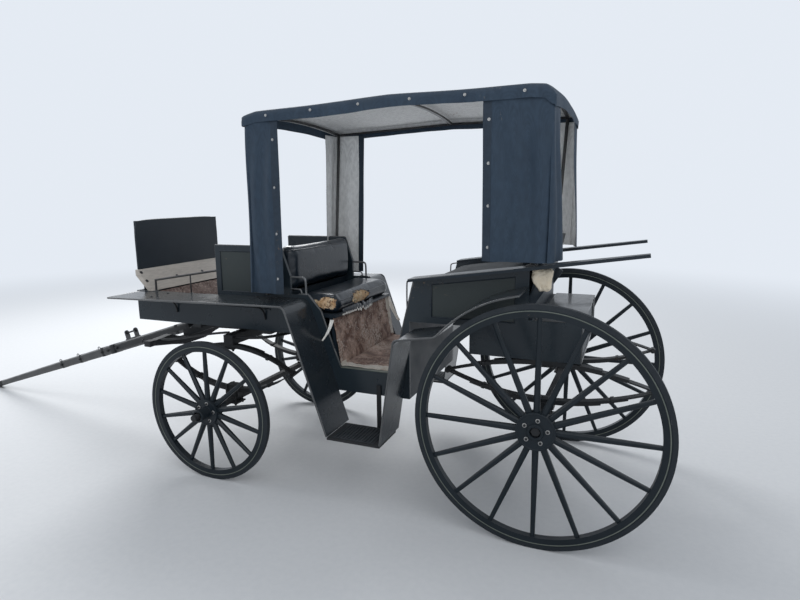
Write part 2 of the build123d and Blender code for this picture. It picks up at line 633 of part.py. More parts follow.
hide_x = (riser_x, BOX_FRONT_X - PANEL)
hide = board(hide_x, width, (floor_top, floor_top + HIDE_T))
for y in ((-inner, -inner + HIDE_T), (inner - HIDE_T, inner)):
    hide += board(hide_x, y, (floor_top, BOX_TOP_Z - 4))
parts["footwell_hide"] = hide
parts["entrance_hide"] = strip(FilletPolyline(
    (riser_top - HIDE_T, seat_bottom - 1), (riser_foot - HIDE_T, SILL_TOP_Z + HIDE_T / 2),
    (SILL_REAR_X + 10, SILL_TOP_Z + HIDE_T / 2), radius=20), HIDE_T, *width)

# Wings and steps
front_wing = FilletPolyline(
    (WING_FRONT_X, BOX_TOP_Z - WING_T), (WING_BEND_X, WING_REAR_Z), (WING_FOOT_X, STEP_Z + WING_T / 2), radius=60)
wing = strip(front_wing, WING_T, HALF_WIDTH, WING_OUT_Y)
for x in STAY_X:
    under = BOX_TOP_Z - WING_T + (WING_FRONT_X - x) * (WING_REAR_Z - BOX_TOP_Z + WING_T) / (WING_FRONT_X - WING_BEND_X)
    wing += board((x, x + STAY_W), (HALF_WIDTH, HALF_WIDTH + 6), (under - STAY_DROP, under))
    wing += board((x, x + STAY_W), (HALF_WIDTH, WING_OUT_Y - STAY_SHORT), (under - WING_T, under))
both("front_wings", wing)

arch_r = REAR_WHEEL_R + WING_CLEAR + WING_T / 2
touch = (arch_r * cos(radians(ARCH_START)), REAR_WHEEL_R + arch_r * sin(radians(ARCH_START)))
run = (touch[1] - REAR_WING_SHELF_Z) / cos(radians(ARCH_START))
shelf = (touch[0] + run * sin(radians(ARCH_START)), REAR_WING_SHELF_Z)
lower = FilletPolyline((REAR_WING_FOOT_X, STEP_Z + WING_T / 2), REAR_WING_KNEE, shelf, touch, radius=40)
arch = CenterArc((0, REAR_WHEEL_R), arch_r, ARCH_START, ARCH_END - ARCH_START)
both("rear_wings", strip(Curve() + [lower, arch], WING_T, HALF_WIDTH, WING_OUT_Y))

step = board((REAR_WING_FOOT_X, WING_FOOT_X), (STEP_IN_Y, WING_OUT_Y), (STEP_Z - STEP_T, STEP_Z))
step += board((HANGER_X - HANGER_W / 2, HANGER_X + HANGER_W / 2), (HALF_WIDTH, HALF_WIDTH + HANGER_T),
              (STEP_Z - STEP_T - 8, WELL_BOTTOM_Z + 60))
step += board((HANGER_X - HANGER_W / 2, HANGER_X + HANGER_W / 2), (HALF_WIDTH, WING_OUT_Y - 40),
              (STEP_Z - STEP_T - 8, STEP_Z - STEP_T))
both("steps", step)

# Top rails: flat boards along the quarter panels that run on behind the body
rail = make_face(Polyline(
    (0, RAIL_IN_Y), (0, RAIL_OUT_Y), (-RAIL_LENGTH * 0.55, RAIL_OUT_Y), (-RAIL_LENGTH, RAIL_TIP_Y),
    (-RAIL_LENGTH, RAIL_IN_Y), close=True))
rail = Pos(QUARTER_X, 0, RAIL_FRONT_Z + SEAT_GAP) * Rot(0, RAIL_SLOPE, 0) * extrude(rail, amount=RAIL_T)
both("top_rails", rail)

# Hand rails of the footwell
rail_y = HALF_WIDTH - PANEL / 2
both("hand_rails", tube([
    (HAND_RAIL_X, rail_y, BOX_TOP_Z), (HAND_RAIL_X, rail_y, BOX_TOP_Z + HAND_RAIL_KNEE),
    (SEAT_SIDE_X + 1.2, rail_y, BOX_TOP_Z + HAND_RAIL_RISE)], TUBE_R))

# Canopy: tube frame, cloth roof and four corner curtains
post_y = CANOPY_HALF - 2 * (CLOTH + SOFT_GAP) - TUBE_BOW_R
side_rail_z = CANOPY_TOP_Z - 36
front_fall = (FRONT_POST_X - MID_BOW_X) * tan(radians(CANOPY_FALL))
side_rail = [(REAR_POST_TOP_X, side_rail_z), (MID_BOW_X, side_rail_z), (FRONT_POST_X, side_rail_z - front_fall)]
side_rail += [(x, z + BOW_T) for x, z in reversed(side_rail)]
frame = None
for y in (-post_y, post_y):
    side_y = 1 if y > 0 else -1
    foot_y = side_y * (HALF_WIDTH + TUBE_BOW_R + 2)
    rear_foot_z = rail_z(REAR_POST_FOOT_X) + SEAT_GAP + RAIL_T / cos(radians(RAIL_SLOPE))
    foot = Pos(REAR_POST_FOOT_X, side_y * (HALF_WIDTH + RAIL_FOOT_OUT), rear_foot_z) * Rot(0, RAIL_SLOPE, 0)
    for piece in (
        rod((FRONT_POST_X, foot_y, FRONT_POST_Z), (FRONT_POST_X, y, side_rail_z - front_fall + TUBE_BOW_R),
            TUBE_BOW_R),
        rod((REAR_POST_FOOT_X, side_y * (HALF_WIDTH + RAIL_FOOT_OUT), rear_foot_z + 5),
            (REAR_POST_TOP_X, y, side_rail_z + TUBE_BOW_R), TUBE_BOW_R),
        plate(side_rail, y - BOW_W / 2, y + BOW_W / 2),
    ):
        frame = piece if frame is None else frame + piece
    frame += board((FRONT_POST_X - 16, FRONT_POST_X + 16),
                   (min(side_y * HALF_WIDTH, foot_y), max(side_y * HALF_WIDTH, foot_y)),
                   (FRONT_POST_Z, FRONT_POST_Z + 60))
    frame += foot * Pos(0, 0, 4) * Box(56, 44, 8)
bow_z = side_rail_z + BOW_T / 2
bow = trace(ThreePointArc((-post_y, bow_z), (0, bow_z + CANOPY_CROWN), (post_y, bow_z)), line_width=BOW_T)
for x, fall in ((REAR_POST_TOP_X, 0), (MID_BOW_X, 0), (FRONT_POST_X, front_fall)):
    frame += Pos(x - BOW_W / 2, 0, -fall) * extrude(Plane.YZ * bow, amount=BOW_W, dir=(1, 0, 0))
parts["canopy_frame"] = frame


def roof_block(inset, depth):
    """The roof's outer shape in three spans, drawn in by a cloth thickness for the inside."""
    half = CANOPY_HALF - inset
    section = Plane.YZ * make_face([
        Line((-half, -depth), (half, -depth)),
        Line((half, -depth), (half, 0)),
        ThreePointArc((half, 0), (0, CANOPY_CROWN), (-half, 0)),
        Line((-half, 0), (-half, -depth)),
    ])
    top = CANOPY_TOP_Z - inset
    knee_x = CANOPY_REAR_X + inset + CANOPY_REAR_CUT
    slope = Pos(knee_x, 0, top) * extrude(section, amount=CANOPY_REAR_CUT / sin(radians(45)), dir=(-1, 0, -1))
    slope -= board((CANOPY_REAR_X - 1, knee_x + 1), (-half - 1, half + 1),
                   (top - depth - CANOPY_REAR_CUT - 1, top - depth))
    level = Pos(knee_x, 0, top) * extrude(section, amount=MID_BOW_X - knee_x, dir=(1, 0, 0))
    fall = radians(CANOPY_FALL)
    run = (CANOPY_FRONT_X - inset - MID_BOW_X) / cos(fall)
    falling = Pos(MID_BOW_X, 0, top) * extrude(section, amount=run, dir=(cos(fall), 0, -sin(fall)))
    return slope + level + falling


parts["canopy_roof"] = roof_block(0, VALANCE) - roof_block(CLOTH, VALANCE + 10)

hang_y = (CANOPY_HALF - 2 * CLOTH - SOFT_GAP, CANOPY_HALF - CLOTH - SOFT_GAP)
curtain_top = CANOPY_TOP_Z - (CANOPY_FRONT_X - MID_BOW_X) * tan(radians(CANOPY_FALL)) - CLOTH - 8
front_x = CANOPY_FRONT_X - CLOTH - 3
curtain = board((front_x - FRONT_CURTAIN[0], front_x), hang_y, (FRONT_CURTAIN_Z, curtain_top))
curtain += board((front_x - CLOTH, front_x), (hang_y[1] - FRONT_CURTAIN[1], hang_y[1]), (FRONT_CURTAIN_Z, curtain_top))
curtain -= board((BULKHEAD_X, front_x + 1), (0, HALF_WIDTH + 8), (0, SEAT_SIDE_TOP_Z + 10))
both("front_curtains", curtain)
rear_x = CANOPY_REAR_X + CLOTH + SOFT_GAP
curtain_top = CANOPY_TOP_Z - CANOPY_REAR_CUT - 2 * CLOTH - 6
curtain = board((rear_x, rear_x + REAR_CURTAIN[0]), hang_y, (REAR_CURTAIN_Z, curtain_top))
curtain += board((rear_x, rear_x + CLOTH), (hang_y[1] - REAR_CURTAIN[1], hang_y[1]), (REAR_CURTAIN_Z, curtain_top))
both("rear_curtains", curtain)

# Move the origin to the middle of the length and write every piece
pole_tip_x = POLE_PIVOT_X + POLE_LENGTH * cos(drop) + POLE_TIP_H / 2 * sin(drop)
centre_x = (pole_tip_x - REAR_WHEEL_R) / 2
os.makedirs("parts", exist_ok=True)
for name, solid in parts.items():
    export_step(Pos(-centre_x, 0, 0) * solid, f"parts/{name}.step")
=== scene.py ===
"""Dressed model of a four-wheeled horse drawn carriage with a canvas top.

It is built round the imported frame, in the frame's own axes and in metres: X forward,
Y to the carriage's left, Z up from the ground. Each sub-assembly is a class whose
fields are its sizes and whose build method makes and dresses its pieces.
"""
import logging
from collections.abc import Callable, Sequence
from dataclasses import dataclass, field
from enum import Enum
from math import cos, hypot, pi, radians, sin
import bmesh
import bpy
from mathutils import Matrix, Vector, noise


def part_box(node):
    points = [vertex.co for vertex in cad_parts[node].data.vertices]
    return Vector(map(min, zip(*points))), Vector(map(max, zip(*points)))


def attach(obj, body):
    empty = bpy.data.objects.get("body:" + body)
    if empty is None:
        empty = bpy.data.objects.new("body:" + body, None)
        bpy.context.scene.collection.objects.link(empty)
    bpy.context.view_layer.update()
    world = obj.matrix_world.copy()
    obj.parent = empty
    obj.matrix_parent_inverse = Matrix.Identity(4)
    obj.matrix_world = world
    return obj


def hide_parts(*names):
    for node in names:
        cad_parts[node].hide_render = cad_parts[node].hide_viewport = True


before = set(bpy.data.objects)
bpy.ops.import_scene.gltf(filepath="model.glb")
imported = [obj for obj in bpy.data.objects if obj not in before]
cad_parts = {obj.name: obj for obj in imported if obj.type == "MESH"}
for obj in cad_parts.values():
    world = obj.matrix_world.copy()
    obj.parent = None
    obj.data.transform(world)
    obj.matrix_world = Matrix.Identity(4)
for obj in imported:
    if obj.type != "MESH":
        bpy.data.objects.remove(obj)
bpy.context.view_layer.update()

log = logging.getLogger("carriage")
Colour = tuple[float, float, float]
Point = tuple[float, float, float]
Piece = bpy.types.Object
Socket = bpy.types.NodeSocket
Node = bpy.types.Node
Tree = bpy.types.NodeTree

AXLE_X = sum(corner.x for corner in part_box("rear_tyre_left")) / 2
SIDES = {"left": 1, "right": -1}

# Angles in degrees: edges that turn more than these are rounded, or stay crisp when a piece is shaded.
ROUNDED_ANGLE = 30.0
CRISP_ANGLE = 35.0

# Sizes of the fasteners, each as (radius, height).
HUB_NUT = (0.0062, 0.006)
SPRING_NUT = (0.0075, 0.008)
GEAR_NUT = (0.0085, 0.009)
WING_BOLT = (0.0085, 0.004)
TOE_BOLT = (0.011, 0.005)
SILL_SCREW = (0.0045, 0.0016)
PRESS_STUD = (0.0075, 0.004)


class Rider(Enum):
    """The bodies of the frame that a piece can ride on."""

    ROOT = "root"
    GEAR = "front_gear"
    POLE = "pole"


class Relief(Enum):
    """The small relief that a finish carries."""

    BRUSHED = "brushed paint"
    PITTED = "pitted"
    GRAIN = "wood grain"
    WEAVE = "woven cloth"
    CREASED = "creased vinyl"
    HAIR = "short hair"
    FOAM = "open foam"


def at(x: float, y: float, z: float) -> Vector:
    """A point measured along the carriage from the rear axle, in the frame."""
    return Vector((x + AXLE_X, y, z))


def points(*places: Point) -> list[Vector]:
    """Several points measured along the carriage from the rear axle, in the frame."""
    return [at(*place) for place in places]


def deselect() -> None:
    """Leave edit mode and select nothing."""
    if bpy.context.object and bpy.context.object.mode != "OBJECT":
        bpy.ops.object.mode_set(mode="OBJECT")
    bpy.ops.object.select_all(action="DESELECT")


def pick(piece: Piece) -> None:
    """Make one piece the selected and active one.

    Args:
        piece: The piece.
    """
    deselect()
    piece.select_set(True)
    bpy.context.view_layer.objects.active = piece


def called(name: str) -> Piece:
    """Name the piece that an operator has just added.

    Args:
        name: The name for the object and its mesh.

    Returns:
        The piece.
    """
    piece = bpy.context.object
    piece.name = name
    piece.data.name = name
    return piece


def settle(piece: Piece) -> Piece:
    """Move a piece's place, turn and size into its mesh.

    Args:
        piece: The piece.

    Returns:
        The same piece.
    """
    pick(piece)
    bpy.ops.object.transform_apply(location=True, rotation=True, scale=True)
    return piece


def modify(piece: Piece, kind: str, **settings: object) -> Piece:
    """Add a modifier with its settings and apply it.

    Args:
        piece: The piece to change.
        kind: Blender's name of the modifier.
        **settings: The modifier's settings by name.

    Returns:
        The same piece.
    """
    pick(piece)
    modifier = piece.modifiers.new(kind.title(), kind)
    for key, value in settings.items():
        setattr(modifier, key, value)
    bpy.ops.object.modifier_apply(modifier=modifier.name)
    return piece


def shaded(piece: Piece, angle: float | None = None) -> Piece:
    """Shade a piece smooth, all over or but for its crisp edges.

    Args:
        piece: The piece.
        angle: Edges that turn more than this stay crisp, in degrees.

    Returns:
        The same piece.
    """
    pick(piece)
    if angle is None:
        bpy.ops.object.shade_smooth()
    else:
        bpy.ops.object.shade_smooth_by_angle(angle=radians(angle))
    return piece


def soften(piece: Piece, edge: float, steps: int = 2) -> Piece:
    """Round a piece's sharp edges and shade its curves smooth.

    Args:
        piece: The piece to finish.
        edge: Width of the rounding.
        steps: Segments across the rounding.

    Returns:
        The same piece.
    """
    if edge:
        modify(piece, "BEVEL", width=edge, segments=steps, limit_method="ANGLE",
               angle_limit=radians(ROUNDED_ANGLE))
    return shaded(piece, CRISP_ANGLE)


def edited(piece: Piece, work: Callable[[], object]) -> Piece:
    """Do something in edit mode with the whole of a piece selected.

    Args:
        piece: The piece to edit.
        work: What is done.

    Returns:
        The same piece.
    """
    pick(piece)
    bpy.ops.object.mode_set(mode="EDIT")
    bpy.ops.mesh.select_all(action="SELECT")
    work()
    bpy.ops.object.mode_set(mode="OBJECT")
    return piece


def in_edit(piece: Piece, chosen: Callable[[bpy.types.MeshPolygon], bool]) -> None:
    """Open a piece for editing with only some of its faces selected.

    Args:
        piece: The piece to edit.
        chosen: Says of a face whether it is selected.
    """
    pick(piece)
    bpy.ops.object.mode_set(mode="EDIT")
    bpy.ops.mesh.select_all(action="DESELECT")
    bpy.ops.mesh.select_mode(type="FACE")
    bpy.ops.object.mode_set(mode="OBJECT")
    for polygon in piece.data.polygons:
        polygon.select = chosen(polygon)
    bpy.ops.object.mode_set(mode="EDIT")


def block(name: str, low: Vector, high: Vector, edge: float = 0.003, steps: int = 2) -> Piece:
    """A block between two corners, with rounded edges.

    Args:
        name: The piece's name.
        low: Lowest corner.
        high: Highest corner.
        edge: Width of the rounding.
        steps: Segments across the rounding.

    Returns:
        The new piece.
    """
    deselect()
    bpy.ops.mesh.primitive_cube_add(size=1, location=(low + high) / 2)
    piece = called(name)
    piece.scale = high - low
    return soften(settle(piece), edge, steps)


def slab(name: str, middle: Vector, half: tuple[float, float], down: float, up: float) -> Piece:
    """A thin level block round a point.

    Args:
        name: The piece's name.
        middle: The point.
        half: Half its length and half its width.
        down: How far it reaches below the point.
        up: How far it reaches above the point.

    Returns:
        The new piece.
    """
    return block(name, middle - Vector((*half, down)), middle + Vector((*half, up)), 0.002)


def bar(name: str, start: Vector, end: Vector, radius: float, sides: int = 14, edge: float = 0.001) -> Piece:
    """A round bar between two points, with broken ends.

    Args:
        name: The piece's name.
        start: Middle of one end.
        end: Middle of the other end.
        radius: Radius of the bar.
        sides: Faces around it.
        edge: Width of the broken edge.

    Returns:
        The new piece.
    """
    deselect()
    run = end - start
    bpy.ops.mesh.primitive_cylinder_add(
        vertices=sides, radius=radius, depth=run.length, location=(start + end) / 2,
        rotation=run.to_track_quat("Z", "Y").to_euler())
    return soften(settle(called(name)), edge)


def pipe(name: str, line: Sequence[Vector], radius: float, closed: bool = False, detail: int = 3) -> Piece:
    """A round rail whose line bends smoothly near its control points.

    Args:
        name: The piece's name.
        line: Control points of the line.
        radius: Radius of the rail.
        closed: Whether the line joins its own start.
        detail: Fineness round the rail.

    Returns:
        The new piece.
    """
    deselect()
    bpy.ops.curve.primitive_nurbs_path_add()
    piece = called(name)
    curve = piece.data
    curve.splines.clear()
    spline = curve.splines.new("NURBS")
    spline.points.add(len(line) - 1)
    for control, point in zip(spline.points, line):
        control.co = (*point, 1)
    spline.order_u = 3
    spline.use_endpoint_u = not closed
    spline.use_cyclic_u = closed
    spline.resolution_u = 5
    curve.bevel_depth = radius
    curve.bevel_resolution = detail
    curve.use_fill_caps = not closed
    pick(piece)
    bpy.ops.object.convert(target="MESH")
    return settle(shaded(called(name), 50))


def turned(name: str, profile: Sequence[tuple[float, float]], centre: Vector, steps: int) -> Piece:
    """A solid turned on the cross axis from a closed outline.

    Args:
        name: The piece's name.
        profile: The outline's corners as (radius, distance along the axis).
        centre: The point of the axis that distances are taken from.
        steps: Facets round the axis.

    Returns:
        The new piece.
    """
    deselect()
    bpy.ops.mesh.primitive_circle_add(vertices=len(profile), radius=1)
    piece = called(name)
    for vertex, (radius, along) in zip(piece.data.vertices, profile):
        vertex.co = (radius, along, 0)

    def spin() -> None:
        """Spin the outline all round and close the seam."""
        bpy.ops.mesh.spin(steps=steps, angle=2 * pi, center=(0, 0, 0), axis=(0, 1, 0))
        bpy.ops.mesh.select_all(action="SELECT")
        bpy.ops.mesh.remove_doubles(threshold=1e-5)
        bpy.ops.mesh.normals_make_consistent(inside=False)

    edited(piece, spin)
    piece.location = centre
    return soften(settle(piece), 0)


def upright(name: str, profile: Sequence[tuple[float, float]], steps: int) -> Piece:
    """A solid turned on the upright axis from a closed outline, standing at the origin.

    Args:
        name: The piece's name.
        profile: The outline's corners as (radius, height).
        steps: Facets round the axis.

    Returns:
        The new piece.
    """
    piece = turned(name, profile, Vector((0, 0, 0)), steps)
    piece.data.transform(Matrix.Rotation(radians(90), 4, "X"))
    return piece


def fused(name: str, pieces: Sequence[Piece]) -> Piece:
    """Join pieces into one.

    Args:
        name: The joined piece's name.
        pieces: The pieces, which are used up.

    Returns:
        The joined piece.
    """
    deselect()
    for piece in pieces:
        piece.select_set(True)
    bpy.context.view_layer.objects.active = pieces[0]
    bpy.ops.object.join()
    return called(name)


def repeated(name: str, pattern: Piece, places: Sequence[Matrix]) -> Piece:
    """Copy a small piece to each place, with its own mesh, and join the copies.

    Args:
        name: The joined piece's name.
        pattern: The piece to copy, which is used up.
        places: Where each copy goes.

    Returns:
        The joined piece.
    """
    copies = []
    for place in places:
        copy = pattern.copy()
        copy.data = pattern.data.copy()
        copy.data.transform(place)
        bpy.context.scene.collection.objects.link(copy)
        copies.append(copy)
    bpy.data.objects.remove(pattern)
    return fused(name, copies)


def mirrored(name: str, pattern: Piece) -> Piece:
    """A piece's mirror image across the carriage.

    Args:
        name: The mirror image's name.
        pattern: The piece, which stays as it is.

    Returns:
        The mirror image, as a piece of its own.
    """
    pick(pattern)
    bpy.ops.object.duplicate()
    piece = called(name)
    piece.scale = (1, -1, 1)
    return edited(settle(piece), bpy.ops.mesh.flip_normals)


def facing(direction: Vector, place: Vector) -> Matrix:
    """The place and turn of a fastener that stands along a direction."""
    return Matrix.Translation(place) @ direction.to_track_quat("Z", "Y").to_matrix().to_4x4()


def nut(radius: float, height: float) -> Piece:
    """A hexagonal nut on a washer, with its bolt's end standing out, pointing up.

    Args:
        radius: Radius across the nut's corners.
        height: Height of the nut.

    Returns:
        The new piece.
    """
    deselect()
    bpy.ops.mesh.primitive_cylinder_add(vertices=18, radius=radius * 1.45, depth=height * 0.25,
                                        location=(0, 0, height * 0.12))
    base = settle(called("washer"))
    deselect()
    bpy.ops.mesh.primitive_cylinder_add(vertices=6, radius=radius, depth=height,
                                        location=(0, 0, height * 0.7))
    body = settle(called("nut"))
    in_edit(body, lambda face: face.normal.z > 0.9)
    bpy.ops.mesh.inset(thickness=radius * 0.4)
    bpy.ops.mesh.extrude_region_move(TRANSFORM_OT_translate={"value": (0, 0, height * 0.35)})
    bpy.ops.object.mode_set(mode="OBJECT")
    return soften(fused("nut", [body, base]), radius * 0.08, 1)


def stud(radius: float, height: float) -> Piece:
    """A domed stud or bolt head with a rolled rim, pointing up.

    Args:
        radius: Its radius.
        height: Its height.

    Returns:
        The new piece.
    """
    profile = [(0, height), (radius * 0.5, height * 0.86), (radius * 0.68, height * 0.4),
               (radius, height * 0.5), (radius, 0), (0, 0)]
    return upright("stud", profile, 12)


def washer(inner: float, outer: float, height: float) -> Piece:
    """A round washer with a dished bore, pointing up.

    Args:
        inner: Radius of the bore.
        outer: Outer radius.
        height: Its height.

    Returns:
        The new piece.
    """
    profile = [(inner, 0), (inner, height * 0.5), (inner * 1.2, height), (outer * 0.9, height),
               (outer, height * 0.6), (outer, 0)]
    return upright("washer", profile, 20)


def cut_off(piece: Piece, point: Vector, away: Vector) -> Piece:
    """Cut off what lies beyond a plane and close the cut.

    Args:
        piece: The piece to cut.
        point: A point of the plane.
        away: Points to the side that goes.

    Returns:
        The same piece.
    """
    return edited(piece, lambda: bpy.ops.mesh.bisect(plane_co=point, plane_no=away, use_fill=True,
                                                     clear_outer=True))


def draped(name: str, shape: Callable[[float, float], Vector], cells: tuple[int, int],
           flat: tuple[float, float], thickness: float) -> Piece:
    """A sheet that follows a curved surface, with its cut's own measure as UV map.

    Args:
        name: The piece's name.
        shape: Gives the surface's point from two shares of the cut, each from 0 to 1.
        cells: Cells along the cut's two sides.
        flat: The cut's two sides.
        thickness: The cloth's thickness.

    Returns:
        The new piece, whose second material slot is the cloth's inner face.
    """
    mesh = bpy.data.meshes.new(name)
    grid = bmesh.new()
    layer = grid.loops.layers.uv.new("UVMap")
    rows = [[grid.verts.new(shape(i / cells[0], j / cells[1])) for j in range(cells[1] + 1)]
            for i in range(cells[0] + 1)]
    for i in range(cells[0]):
        for j in range(cells[1]):
            corners = ((i, j), (i + 1, j), (i + 1, j + 1), (i, j + 1))
            face = grid.faces.new([rows[a][b] for a, b in corners])
            for loop, (a, b) in zip(face.loops, corners):
                loop[layer].uv = (a / cells[0] * flat[0], b / cells[1] * flat[1])
    grid.to_mesh(mesh)
    grid.free()
    piece = bpy.data.objects.new(name, mesh)
    bpy.context.scene.collection.objects.link(piece)
    mesh.materials.append(None)
    mesh.materials.append(None)
    return shaded(modify(piece, "SOLIDIFY", thickness=thickness, offset=-1, material_offset=1), 60)


class Wiring:
    """Adds nodes to one node tree and joins them."""

    def __init__(self, tree: Tree) -> None:
        """Start on an empty tree."""
        self.tree = tree
        tree.nodes.clear()

    def add(self, kind: str, links: dict | None = None, **settings: object) -> Node:
        """Add a node.

        Args:
            kind: Blender's name of the node, without its prefix.
            links: What goes into its inputs: an output socket, or a plain value.
            **settings: The node's own settings.

        Returns:
            The new node.
        """
        prefix = "Node" if kind in ("GroupInput", "GroupOutput") else "ShaderNode"
        node = self.tree.nodes.new(prefix + kind)
        for key, value in settings.items():
            setattr(node, key, value)
        for key, value in (links or {}).items():
            if isinstance(value, Socket):
                self.tree.links.new(value, node.inputs[key])
            else:
                node.inputs[key].default_value = value
        return node

    def sum(self, operation: str, *values: object, clamp: bool = False) -> Socket:
        """The result of a sum on sockets or numbers.

        Args:
            operation: The sum's name.
            *values: What goes in, in order.
            clamp: Whether the result is held between 0 and 1.

        Returns:
            The output socket.
        """
        node = self.add("Math", dict(enumerate(values)), operation=operation, use_clamp=clamp)
        return node.outputs[0]

    def cloud(self, vector: Socket, scale: object, detail: float, roughness: float = 0.5,
              swirl: float = 0.0) -> Socket:
        """A noise pattern.

        Args:
            vector: The coordinates that it follows.
            scale: Its scale, a socket or a number.
            detail: How many finer layers it has.
            roughness: How strong the finer layers are.
            swirl: How far it is distorted.

        Returns:
            The output socket.
        """
        node = self.add("TexNoise", {"Vector": vector, "Scale": scale, "Detail": detail,
                                     "Roughness": roughness, "Distortion": swirl})
        return node.outputs["Fac"]

    def mix(self, share: object, low: object, high: object) -> Socket:
        """A colour between two, by a share from 0 to 1.

        Args:
            share: The share, a socket or a number.
            low: Colour at 0.
            high: Colour at 1.

        Returns:
            The output socket.
        """
        node = self.add("Mix", {0: share, 6: low, 7: high}, data_type="RGBA")
        return node.outputs[2]


class Effects:
    """The shader node groups that the finishes share, each made once."""

    def __init__(self) -> None:
        """Make nothing yet."""
        self.made: dict[str, Tree] = {}

    def group(self, name: str, numbers: Sequence[str], out: str,
              wire: Callable[[Wiring, Node], Socket]) -> Tree:
        """A group with a Vector input, some number inputs and one output.

        Args:
            name: The group's name.
            numbers: Names of its number inputs.
            out: Name of its output.
            wire: Wires the inside and returns the socket that goes out.

        Returns:
            The group's tree.
        """
        if name not in self.made:
            tree = bpy.data.node_groups.new(name, "ShaderNodeTree")
            tree.interface.new_socket("Vector", in_out="INPUT", socket_type="NodeSocketVector")
            for number in numbers:
                tree.interface.new_socket(number, in_out="INPUT", socket_type="NodeSocketFloat")
            tree.interface.new_socket(out, in_out="OUTPUT", socket_type="NodeSocketFloat")
            wiring = Wiring(tree)
            entry = wiring.add("GroupInput")
            result = wire(wiring, entry)
            wiring.add("GroupOutput", {out: result})
            self.made[name] = tree
        return self.made[name]

    def mottle(self) -> Tree:
        """Uneven colour: soft or sharp-edged patches.

        Returns:
            The group's tree.
        """

        def wire(wiring: Wiring, entry: Node) -> Socket:
            """Noise, steepened about its middle.

            Args:
                wiring: The group's wiring.
                entry: The node with the group's inputs.

            Returns:
                The socket that goes out.
            """
            cloud = wiring.cloud(entry.outputs["Vector"], entry.outputs["Scale"], 6.0, 0.62, 0.4)
            centred = wiring.sum("SUBTRACT", cloud, entry.outputs["Level"])
            steep = wiring.sum("MULTIPLY", centred, entry.outputs["Sharpness"])
            return wiring.sum("ADD", steep, 0.5, clamp=True)

        return self.group("mottle", ("Scale", "Sharpness", "Level"), "Mask", wire)

    def dust_and_highlight(self) -> Tree:
        """Dust, and on the pole a painted highlight: it lies on what faces up and clings in patches
        elsewhere.

        Returns:
            The group's tree.
        """

        def wire(wiring: Wiring, entry: Node) -> Socket:
            """Upward share of the surface times a patchy noise.

            Args:
                wiring: The group's wiring.
                entry: The node with the group's inputs.

            Returns:
                The socket that goes out.
            """
            normal = wiring.add("NewGeometry").outputs["Normal"]
            up = wiring.add("SeparateXYZ", {0: normal}).outputs["Z"]
            lying = wiring.sum("MULTIPLY_ADD", wiring.sum("MAXIMUM", up, 0.0), 0.85, 0.12)
            cloud = wiring.cloud(entry.outputs["Vector"], entry.outputs["Scale"], 8.0, 0.7)
            patchy = wiring.sum("MULTIPLY_ADD", cloud, 2.2, -0.55)
            return wiring.sum("MULTIPLY", wiring.sum("MULTIPLY", lying, patchy, clamp=True),
                              entry.outputs["Amount"], clamp=True)

        return self.group("dust_and_highlight", ("Scale", "Amount"), "Mask", wire)

    def wear(self) -> Tree:
        """Small chips, scuffs and stains, sparse and sharp.

        Returns:
            The group's tree.
        """

        def wire(wiring: Wiring, entry: Node) -> Socket:
            """The peaks of a fine noise inside the peaks of a broad one.

            Args:
                wiring: The group's wiring.
                entry: The node with the group's inputs.

            Returns:
                The socket that goes out.
            """
            fine = wiring.cloud(entry.outputs["Vector"], entry.outputs["Scale"], 9.0, 0.75)
            broad = wiring.cloud(entry.outputs["Vector"], 3.1, 3.0)
            both = wiring.sum("MULTIPLY_ADD", fine, 0.6, wiring.sum("MULTIPLY", broad, 0.4))
            level = wiring.sum("SUBTRACT", wiring.sum("ADD", both, entry.outputs["Amount"]), 0.66)
            return wiring.sum("MULTIPLY", level, 18.0, clamp=True)

        return self.group("wear", ("Scale", "Amount"), "Mask", wire)

    def relief(self, kind: Relief) -> Tree:
        """The height pattern of one kind of relief.

        Args:
            kind: The relief.

        Returns:
            Its group, with a Scale input and a Height output.
        """
        stretch = {Relief.GRAIN: (0.06, 1.0, 1.0), Relief.HAIR: (0.22, 1.0, 1.0),
                   Relief.BRUSHED: (0.35, 1.0, 1.0)}

        def wire(wiring: Wiring, entry: Node) -> Socket:
            """Noise, waves or cells, stretched as the surface is.

            Args:
                wiring: The group's wiring.
                entry: The node with the group's inputs.

            Returns:
                The socket that goes out.
            """
            vector = wiring.add("Mapping", {"Vector": entry.outputs["Vector"],
                                            "Scale": stretch.get(kind, (1.0, 1.0, 1.0))}).outputs[0]
            scale = entry.outputs["Scale"]
            if kind is Relief.WEAVE:
                threads = [wiring.add("TexWave", {"Vector": vector, "Scale": scale, "Distortion": 0.5},
                                      bands_direction=axis).outputs["Fac"] for axis in ("X", "Y")]
                woven = wiring.sum("MAXIMUM", *threads)
                slub = wiring.cloud(vector, 46.0, 5.0)
                return wiring.sum("MULTIPLY_ADD", slub, 0.8, wiring.sum("MULTIPLY", woven, 0.35))
            cloud = wiring.cloud(vector, scale, 8.0, 0.65, 0.6 if kind is Relief.CREASED else 0.1)
            if kind in (Relief.FOAM, Relief.CREASED, Relief.PITTED):
                finer = wiring.sum("MULTIPLY", scale, 2.6)
                cells = wiring.add("TexVoronoi", {"Vector": vector, "Scale": finer}, feature="F1")
                return wiring.sum("MULTIPLY_ADD", cells.outputs["Distance"], 0.5, cloud)
            return cloud

        return self.group(f"relief {kind.value}", ("Scale",), "Height", wire)


EFFECTS = Effects()


